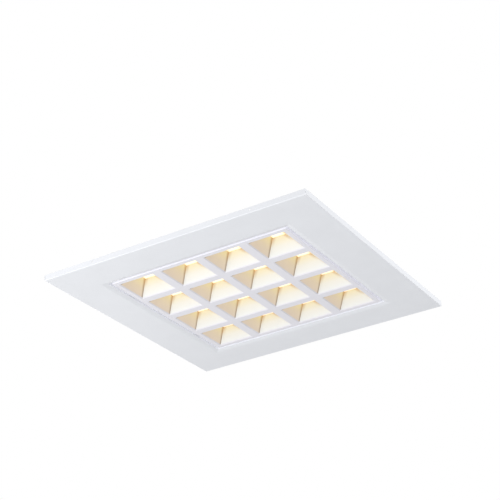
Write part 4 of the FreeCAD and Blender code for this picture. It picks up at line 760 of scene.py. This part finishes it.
class TROFFER_OT_stage(bpy.types.Operator):
    """Set up the floor, the backdrop, the lamps and the camera"""

    bl_idname = "troffer.stage"
    bl_label = "Stage"

    def execute(self, context):
        scene = context.scene
        self.make_floor(scene.troffer_studio)
        self.make_sky(scene, scene.troffer_studio)
        self.make_lamps(scene, scene.troffer_studio)
        self.place_camera(scene, scene.troffer_camera)
        return {"FINISHED"}

    @staticmethod
    def make_floor(settings):
        """Large plain floor far below the light."""
        mesh = bmesh.new()
        bmesh.ops.create_grid(mesh, x_segments=1, y_segments=1, size=settings.floor_width / 2)
        floor = mesh_object("floor", mesh)
        floor.location.z = -settings.floor_depth
        material, tree, shader = new_material("pale_floor")
        wide = grain(tree, 0.8, 3)
        tree.links.new(mottled(tree, wide, (0.86, 0.86, 0.86), (0.88, 0.88, 0.88)),
                       shader.inputs["Base Color"])
        shader.inputs["Roughness"].default_value = 0.8
        paint(floor, material)

    @staticmethod
    def make_sky(scene, settings):
        """White backdrop that gives only a share of its light."""
        world = bpy.data.worlds.new("plain_sky")
        world.use_nodes = True
        tree = world.node_tree
        backdrop = tree.nodes["Background"]
        backdrop.inputs["Color"].default_value = (1, 1, 1, 1)
        ray = add_node(tree, "ShaderNodeLightPath")
        strength = between(tree, ray.outputs["Is Camera Ray"], settings.sky_light, 1, 0, 1)
        tree.links.new(strength, backdrop.inputs["Strength"])
        scene.world = world
        scene.view_settings.view_transform = "Standard"

    @staticmethod
    def make_lamps(scene, settings):
        """Soft lamps round the light: most below it, one above the right side and one over its back."""
        for name, power, size, place in (
                ("front_lamp", settings.front_power, 1.8, (-0.9, -2.6, -2.0)),
                ("low_lamp", settings.low_power, 0.9, (-0.7, -1.5, -0.3)),
                ("fill_lamp", settings.fill_power, 1.6, (3.0, -0.8, -2.8)),
                ("rim_lamp", settings.rim_power, 1.2, (2.4, 0.6, 0.7)),
                ("gloss_lamp", settings.gloss_power, 0.9, (-2.16, 2.04, -0.36)),
                ("top_lamp", settings.top_power, 3.5, (-1.5, 2.5, 3.5))):
            lamp = bpy.data.lights.new(name, "AREA")
            lamp.energy = power
            lamp.size = size
            made = bpy.data.objects.new(name, lamp)
            made.location = place
            made.rotation_mode = "QUATERNION"
            made.rotation_quaternion = (-Vector(place)).to_track_quat("-Z", "Y")
            scene.collection.objects.link(made)

    @staticmethod
    def place_camera(scene, settings):
        """Camera on a sphere round its target, rolled about its own axis."""
        azimuth, elevation = settings.azimuth, settings.elevation
        back = Vector((math.sin(azimuth) * math.cos(elevation),
                       -math.cos(azimuth) * math.cos(elevation), math.sin(elevation)))
        right = Vector((math.cos(azimuth), math.sin(azimuth), 0))
        up = back.cross(right)
        turn = Matrix.Rotation(settings.roll, 3, back)
        right, up = turn @ right, turn @ up
        lens = bpy.data.cameras.new("camera")
        lens.lens = settings.lens
        lens.sensor_width = 36
        camera = bpy.data.objects.new("camera", lens)
        pose = Matrix((right, up, back)).transposed().to_4x4()
        pose.translation = Vector(settings.target) + back * settings.distance
        camera.matrix_world = pose
        scene.collection.objects.link(camera)
        scene.camera = camera


class TROFFER_OT_front_frame(bpy.types.Operator):
    """Finish the pressed frame"""

    bl_idname = "troffer.front_frame"
    bl_label = "Front frame"

    def execute(self, context):
        settings = context.scene.troffer_finish
        coat, tree, shader = powder_coat("frame_coat", tuple(settings.coat))
        # Painted glow: emission on the upstand behind the gap round the louvre
        paint_gap_glow(tree, shader, settings, UPSTAND_INSIDE - 0.4 * MILLIMETRE,
                  UPSTAND_INSIDE + 1.5 * MILLIMETRE, LIP_TOP + 0.2 * MILLIMETRE)
        finish_nodes(coat, "front_frame")
        return {"FINISHED"}


class TROFFER_OT_louvre(bpy.types.Operator):
    """Finish the louvre and light its cells"""

    bl_idname = "troffer.louvre"
    bl_label = "Louvre"

    def execute(self, context):
        settings = context.scene.troffer_finish
        softened("louvre", settings.edge_round, moulded_white(settings))
        finish_nodes(reflector(settings), *numbered("reflector_strip"))
        self.make_sheet(settings)
        return {"FINISHED"}

    @staticmethod
    def make_sheet(settings):
        """Opal sheet with a lit window over each cell."""
        middles = [CELL_PITCH * (number - (CELLS_A_SIDE - 1) / 2) for number in range(CELLS_A_SIDE)]
        cuts = [SHEET_LOW.x,
                *(middle + side for middle in middles for side in (-WINDOW_HALF, WINDOW_HALF)),
                SHEET_HIGH.x]
        mesh = bmesh.new()
        under = [[mesh.verts.new((x, y, SHEET_LOW.z)) for y in cuts] for x in cuts]
        above = [[mesh.verts.new((x, y, SHEET_HIGH.z)) for y in cuts] for x in cuts]
        last = len(cuts) - 1
        for column in range(last):
            for row in range(last):
                corners = ((column, row), (column + 1, row), (column + 1, row + 1), (column, row + 1))
                mesh.faces.new([above[a][b] for a, b in corners])
                bottom = mesh.faces.new([under[a][b] for a, b in reversed(corners)])
                bottom.material_index = 1 if column % 2 and row % 2 else 0
        for number in range(last):
            for (a, b), (c, d) in (((number, 0), (number + 1, 0)), ((number + 1, last), (number, last)),
                                   ((0, number + 1), (0, number)), ((last, number), (last, number + 1))):
                mesh.faces.new((under[a][b], under[c][d], above[c][d], above[a][b]))
        sheet = mesh_object("opal_sheet", mesh)
        paint(sheet, opal_sheet(), lit_window(settings))
        settle(sheet, "diffuser")


class TROFFER_OT_light_engine(bpy.types.Operator):
    """Finish the heat plate, the light boards and their wiring"""

    bl_idname = "troffer.light_engine"
    bl_label = "Light engine"

    def execute(self, context):
        finish_nodes(bright_metal("rolled_aluminium", (0.78, 0.79, 0.80), 0.35, (1, 12, 1)), "led_plate")
        finish_nodes(circuit_board(), *numbered("led_board"))
        nylon = plain_plastic("white_nylon", (0.80, 0.79, 0.75), 0.5)
        self.make_chips(context.scene.troffer_finish)
        self.make_connectors(nylon)
        finish_nodes(insulation("white_insulation", (0.78, 0.78, 0.76)), "link_leads", "output_lead")
        return {"FINISHED"}

    @staticmethod
    def make_chips(settings):
        """Square ceramic carriers, each with a dam, a lit phosphor disc and two solder pads."""
        mesh = bmesh.new()
        for low, high in solids_of("led_chips"):
            middle = (low + high) / 2
            half, rise = (high.x - low.x) / 2, high.z - low.z
            pose = seated((middle.x, middle.y, high.z), (0, 0, -1))
            corner = 0.12 * half
            rings = []
            for inset, level in ((0, 0), (0, 0.4 * rise), (corner / 2, 0.5 * rise)):
                reach = half - inset
                outline = four_fold((reach, reach - corner), (reach - corner, reach))
                rings.append(add_ring(mesh, pose, outline, level))
            mesh.faces.new(rings[0])
            mesh.faces.new(rings[-1])
            for first, second in zip(rings, rings[1:]):
                add_wall(mesh, first, second)
            dam = [(0.74 * half, 0.45 * rise), (0.73 * half, 0.85 * rise), (0.70 * half, rise),
                   (0.67 * half, 0.85 * rise), (0.66 * half, 0.45 * rise)]
            turned(mesh, pose, dam, 32, closed=True)
            disc = [(0.665 * half, 0.45 * rise), (0.665 * half, 0.74 * rise), (0.4 * half, 0.84 * rise),
                    (0, 0.87 * rise)]
            turned(mesh, pose, [(0, 0.45 * rise)] + disc, 32, finish=1)
            for side in (-1, 1):
                centre = side * 0.82 * half
                pad = box_outline(0.1 * half, 0.1 * half, centre, centre)
                foot, top = (add_ring(mesh, pose, pad, level * rise) for level in (0.45, 0.58))
                add_wall(mesh, foot, top, finish=2)
                for end in (foot, top):
                    mesh.faces.new(end).material_index = 2
        ceramic = plain_plastic("ceramic", (0.82, 0.82, 0.80), 0.4, 0.0004)
        solder = bright_metal("solder", (0.70, 0.70, 0.71), 0.3)
        small_piece("light_chips", mesh, "led_chips", "chip_yellow", ceramic, phosphor(settings), solder)

    @staticmethod
    def make_connectors(nylon):
        """Plug-in connectors with two release slots each."""
        mesh = bmesh.new()
        for low, high in solids_of("board_connectors"):
            middle = (low + high) / 2
            half_x, half_y = (high.x - low.x) / 2, (high.y - low.y) / 2
            rise = high.z - low.z
            pose = seated((middle.x, middle.y, high.z), (0, 0, -1))
            rings = [add_ring(mesh, pose, box_outline(half_x - inset, half_y - inset), level)
                     for inset, level in ((0, 0), (0, 0.86 * rise), (0.5 * MILLIMETRE, rise))]
            mesh.faces.new(rings[0])
            for first, second in zip(rings, rings[1:]):
                add_wall(mesh, first, second)
            slots = [box_outline(0.4 * half_x, 0.14 * half_y, 0, side * 0.42 * half_y)
                     for side in (-1, 1)]
            sink(mesh, pose, rings[-1], rise, slots, 0.4 * rise, 0.85)
        small_piece("connectors", mesh, "board_connectors", "connector_white", nylon)


class TROFFER_OT_tray(bpy.types.Operator):
    """Finish the back tray and its suspension eyes"""

    bl_idname = "troffer.tray"
    bl_label = "Back tray"

    def execute(self, context):
        sheet = galvanised()
        for node in ("tray", "tray_ends", *numbered("wire_eye")):
            softened(node, SHEET_ROUND, sheet)
        finish_nodes(sheet, *numbered("hinge_bracket"))
        finish_nodes(black_rubber(), "tray_grommet", "entry_grommet", "entry_plug")
        return {"FINISHED"}


class TROFFER_OT_wiring_box(bpy.types.Operator):
    """Finish the wiring box, its cover and what it holds"""

    bl_idname = "troffer.wiring_box"
    bl_label = "Wiring box"

    def execute(self, context):
        coat = powder_coat("box_coat", (0.76, 0.765, 0.76), 0.0009)[0]
        for node in ("driver_box", "box_end_in", "box_end_out"):
            softened(node, SMALL_ROUND, coat)
        finish_nodes(coat, "driver_cover")
        shell = plain_plastic("driver_shell", (0.80, 0.80, 0.79), 0.5, 0.0009)
        for node in ("driver_case", "driver_cap_in", "driver_cap_out"):
            softened(node, DRIVER_ROUND, shell)
        softened("terminal_block", SMALL_ROUND,
                 plain_plastic("block_nylon", (0.45, 0.46, 0.45), 0.5))
        self.make_terminal_screws()
        finish_nodes(bright_metal("tinned_copper", (0.72, 0.70, 0.66)), "earth_tag")
        finish_nodes(insulation("brown_insulation", (0.16, 0.06, 0.025)), "live_lead")
        finish_nodes(insulation("blue_insulation", (0.02, 0.09, 0.36)), "neutral_lead")
        finish_nodes(insulation("earth_insulation", (0.06, 0.30, 0.05), (0.80, 0.66, 0.04)),
                     "earth_lead")
        return {"FINISHED"}

    @staticmethod
    def make_terminal_screws():
        """Slotted brass screws in the wells of the terminal block."""
        mesh = bmesh.new()
        for low, high in solids_of("terminal_screws"):
            middle = (low + high) / 2
            reach, rise = (high.x - low.x) / 2, high.z - low.z
            pose = seated((middle.x, middle.y, low.z))
            rings = turned(mesh, pose, [(0.9 * reach, rise), (reach, 0.92 * rise), (reach, 0), (0, 0)])
            sink(mesh, pose, rings[0], rise, [box_outline(0.72 * reach, 0.16 * reach)], 0.4 * rise, 1.0)
        brass = bright_metal("turned_brass", (0.72, 0.56, 0.26))
        small_piece("terminal_clamps", mesh, "terminal_screws", "brass_plate", brass)


class TROFFER_OT_fixings(bpy.types.Operator):
    """Finish the screws, rivets, studs, pins, catches and springs"""

    bl_idname = "troffer.fixings"
    bl_label = "Fixings"

    def execute(self, context):
        zinc = bright_metal("bright_zinc", (0.70, 0.71, 0.72))
        finish_nodes(zinc, *numbered("hinge_pin"), "cover_pin")
        for node, way, head, rise, shank in SCREWS:
            self.make_screws(zinc, node, way, head * MILLIMETRE, rise * MILLIMETRE, shank * MILLIMETRE)
        self.make_studs(zinc)
        self.make_nuts(zinc)
        rivet_metal = bright_metal("rivet_aluminium", (0.74, 0.75, 0.76), 0.34)
        self.make_rivets(rivet_metal, "eye_rivets", (0, 0, 1), 3, 2, 2.4)
        self.make_rivets(rivet_metal, "bracket_rivets", (1, 0, 0), 2.4, 2.2, 2.2)
        self.make_springs(bright_metal("spring_strip", (0.35, 0.36, 0.38), 0.25))
        catch_white = plain_plastic("catch_plastic", (0.80, 0.80, 0.80))
        for number in CATCHES:
            softened(f"catch_case_{number}", SMALL_ROUND, catch_white)
            softened(f"catch_bolt_{number}", SMALL_ROUND, catch_white)
        return {"FINISHED"}

    @staticmethod
    def make_springs(metal):
        """Bowed strips, one for each catch."""
        sheet = 0.4 * MILLIMETRE
        steps = 24
        for number in CATCHES:
            node = f"catch_spring_{number}"
            low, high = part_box(node)
            bow, half = high.x - low.x, (high.y - low.y) / 2
            radius = (half ** 2 + bow ** 2) / (2 * bow)
            end = math.asin(half / radius)
            middle = Vector((high.x - radius, (low.y + high.y) / 2, 0))
            mesh = bmesh.new()
            rows = []
            for step in range(steps + 1):
                angle = end * (2 * step / steps - 1)
                way = Vector((math.cos(angle), math.sin(angle), 0))
                rows.append([mesh.verts.new(middle + way * reach + Vector((0, 0, level)))
                             for reach, level in ((radius - sheet, low.z), (radius, low.z),
                                                  (radius, high.z), (radius - sheet, high.z))])
            for first, second in zip(rows, rows[1:]):
                add_wall(mesh, first, second)
            mesh.faces.new(rows[0])
            mesh.faces.new(rows[-1])
            spring = small_piece(f"{node}_strip", mesh, node, "spring_steel", metal)
            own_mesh(spring)

    @staticmethod
    def make_screws(metal, node, way, head, rise, shank):
        """Pan screws of a node, with heads that point up where the way is 1, and down where it is -1."""
        mesh = bmesh.new()
        for low, high in solids_of(node):
            middle = (low + high) / 2
            seat = high.z - rise if way > 0 else low.z + rise
            pan_screw(mesh, seated((middle.x, middle.y, seat), (0, 0, way)), head, rise, shank,
                      high.z - low.z - rise)
        small_piece(f"{node}_cut", mesh, node, "zinc", metal)

    @staticmethod
    def make_studs(metal):
        """Welded studs with a thread above a plain foot, made from the tip down."""
        ledge = shoulder = 0.8 * MILLIMETRE
        foot_rise, pitch = 0.5 * MILLIMETRE, 0.7 * MILLIMETRE
        mesh = bmesh.new()
        for low, high in solids_of("frame_studs"):
            middle = (low + high) / 2
            foot, rise = (high.x - low.x) / 2, high.z - low.z
            shank = foot - ledge
            points = thread(shank, 0, shoulder - rise, pitch)[:-1]
            down = [(reach, -level) for reach, level in points]
            turned(mesh, seated((middle.x, middle.y, high.z), (0, 0, -1)), [
                (0, 0), (0.8 * shank, 0), *down[1:], (foot, rise - foot_rise), (foot, rise), (0, rise)])
        small_piece("frame_studs_cut", mesh, "frame_studs", "zinc", metal)

    @staticmethod
    def make_nuts(metal):
        """Hexagon nuts with a flange and cut corners."""
        mesh = bmesh.new()
        to_corner, bore, bore_bevel = 4 * MILLIMETRE, 2.05 * MILLIMETRE, 0.4 * MILLIMETRE
        to_flat = to_corner * math.cos(math.pi / 6)

        def side(angle):
            """Reach of the hexagon at an angle."""
            return to_flat / math.cos(angle % (math.pi / 3) - math.pi / 6)

        for low, high in solids_of("tray_nuts"):
            middle = (low + high) / 2
            flange, rise = (high.x - low.x) / 2, high.z - low.z

            def shoulder(angle):
                """Height of the hexagon's top edge, which falls towards the corners."""
                return rise - 0.1 * MILLIMETRE - 0.6 * (side(angle) - to_flat)

            foot = [(bore, 0), (flange - 0.2 * MILLIMETRE, 0), (flange, 0.3 * MILLIMETRE),
                    (flange, 0.6 * MILLIMETRE)]
            hexagon = [(side, 1.25 * MILLIMETRE), (side, shoulder), (0.94 * to_flat, rise)]
            turned(mesh, seated((middle.x, middle.y, low.z)), [
                *foot, *hexagon, (bore + bore_bevel, rise), (bore, rise - bore_bevel)], 36, closed=True)
        small_piece("tray_nuts_cut", mesh, "tray_nuts", "zinc", metal)

    @staticmethod
    def make_rivets(metal, node, direction, head, sheets, tail):
        """Blind rivets with a hollow in the head and a swollen tail. Sizes are in millimetres: radius of
        the head, thickness of the riveted sheets and radius of the tail."""
        mesh = bmesh.new()
        axis = Vector(direction)
        shank, head_rise = 1.5, 1.0
        for low, high in solids_of(node):
            length = (high - low).dot(axis)
            below = length / MILLIMETRE - head_rise
            profile = [(0, 0.35), (0.75, 0.35), (0.85, 0.95), (0.5 * head, head_rise), (0.8 * head, 0.78),
                       (0.97 * head, 0.35), (head, 0), (shank, 0), (shank, -sheets), (tail, -sheets),
                       (tail, -(sheets + below) / 2), (0.6 * tail, -below), (0, -below)]
            seat = (low + high) / 2 + axis * (length / 2 - head_rise * MILLIMETRE)
            turned(mesh, seated(seat, axis),
                   [(reach * MILLIMETRE, level * MILLIMETRE) for reach, level in profile], 20)
        small_piece(f"{node}_set", mesh, node, "zinc", metal)


class TROFFER_PT_panel(bpy.types.Panel):
    """Steps that dress the light, in order"""

    bl_idname = "TROFFER_PT_panel"
    bl_label = "Troffer light"
    bl_space_type = "VIEW_3D"
    bl_region_type = "UI"
    bl_category = "Troffer"

    def draw(self, context):
        for operator in OPERATORS:
            self.layout.operator(operator.bl_idname)
        for group in ("troffer_camera", "troffer_studio", "troffer_finish"):
            settings = getattr(context.scene, group)
            for name in settings.__annotations__:
                self.layout.prop(settings, name)


SETTINGS = {
    "troffer_camera": CameraSettings,
    "troffer_studio": StudioSettings,
    "troffer_finish": FinishSettings,
}
OPERATORS = (
    TROFFER_OT_stage,
    TROFFER_OT_front_frame,
    TROFFER_OT_louvre,
    TROFFER_OT_light_engine,
    TROFFER_OT_tray,
    TROFFER_OT_wiring_box,
    TROFFER_OT_fixings,
)


def register():
    """Make the settings, operators and panel known."""
    for name, group in SETTINGS.items():
        bpy.utils.register_class(group)
        setattr(bpy.types.Scene, name, bpy.props.PointerProperty(type=group))
    for part in (*OPERATORS, TROFFER_PT_panel):
        bpy.utils.register_class(part)


def unregister():
    """Take the panel, operators and settings away again."""
    for part in reversed((*OPERATORS, TROFFER_PT_panel)):
        bpy.utils.unregister_class(part)
    for name, group in reversed(SETTINGS.items()):
        delattr(bpy.types.Scene, name)
        bpy.utils.unregister_class(group)


def main():
    """Dress the light."""
    register()
    for operator in OPERATORS:
        space, name = operator.bl_idname.split(".")
        getattr(getattr(bpy.ops, space), name)()


if __name__ == "__main__":
    main()
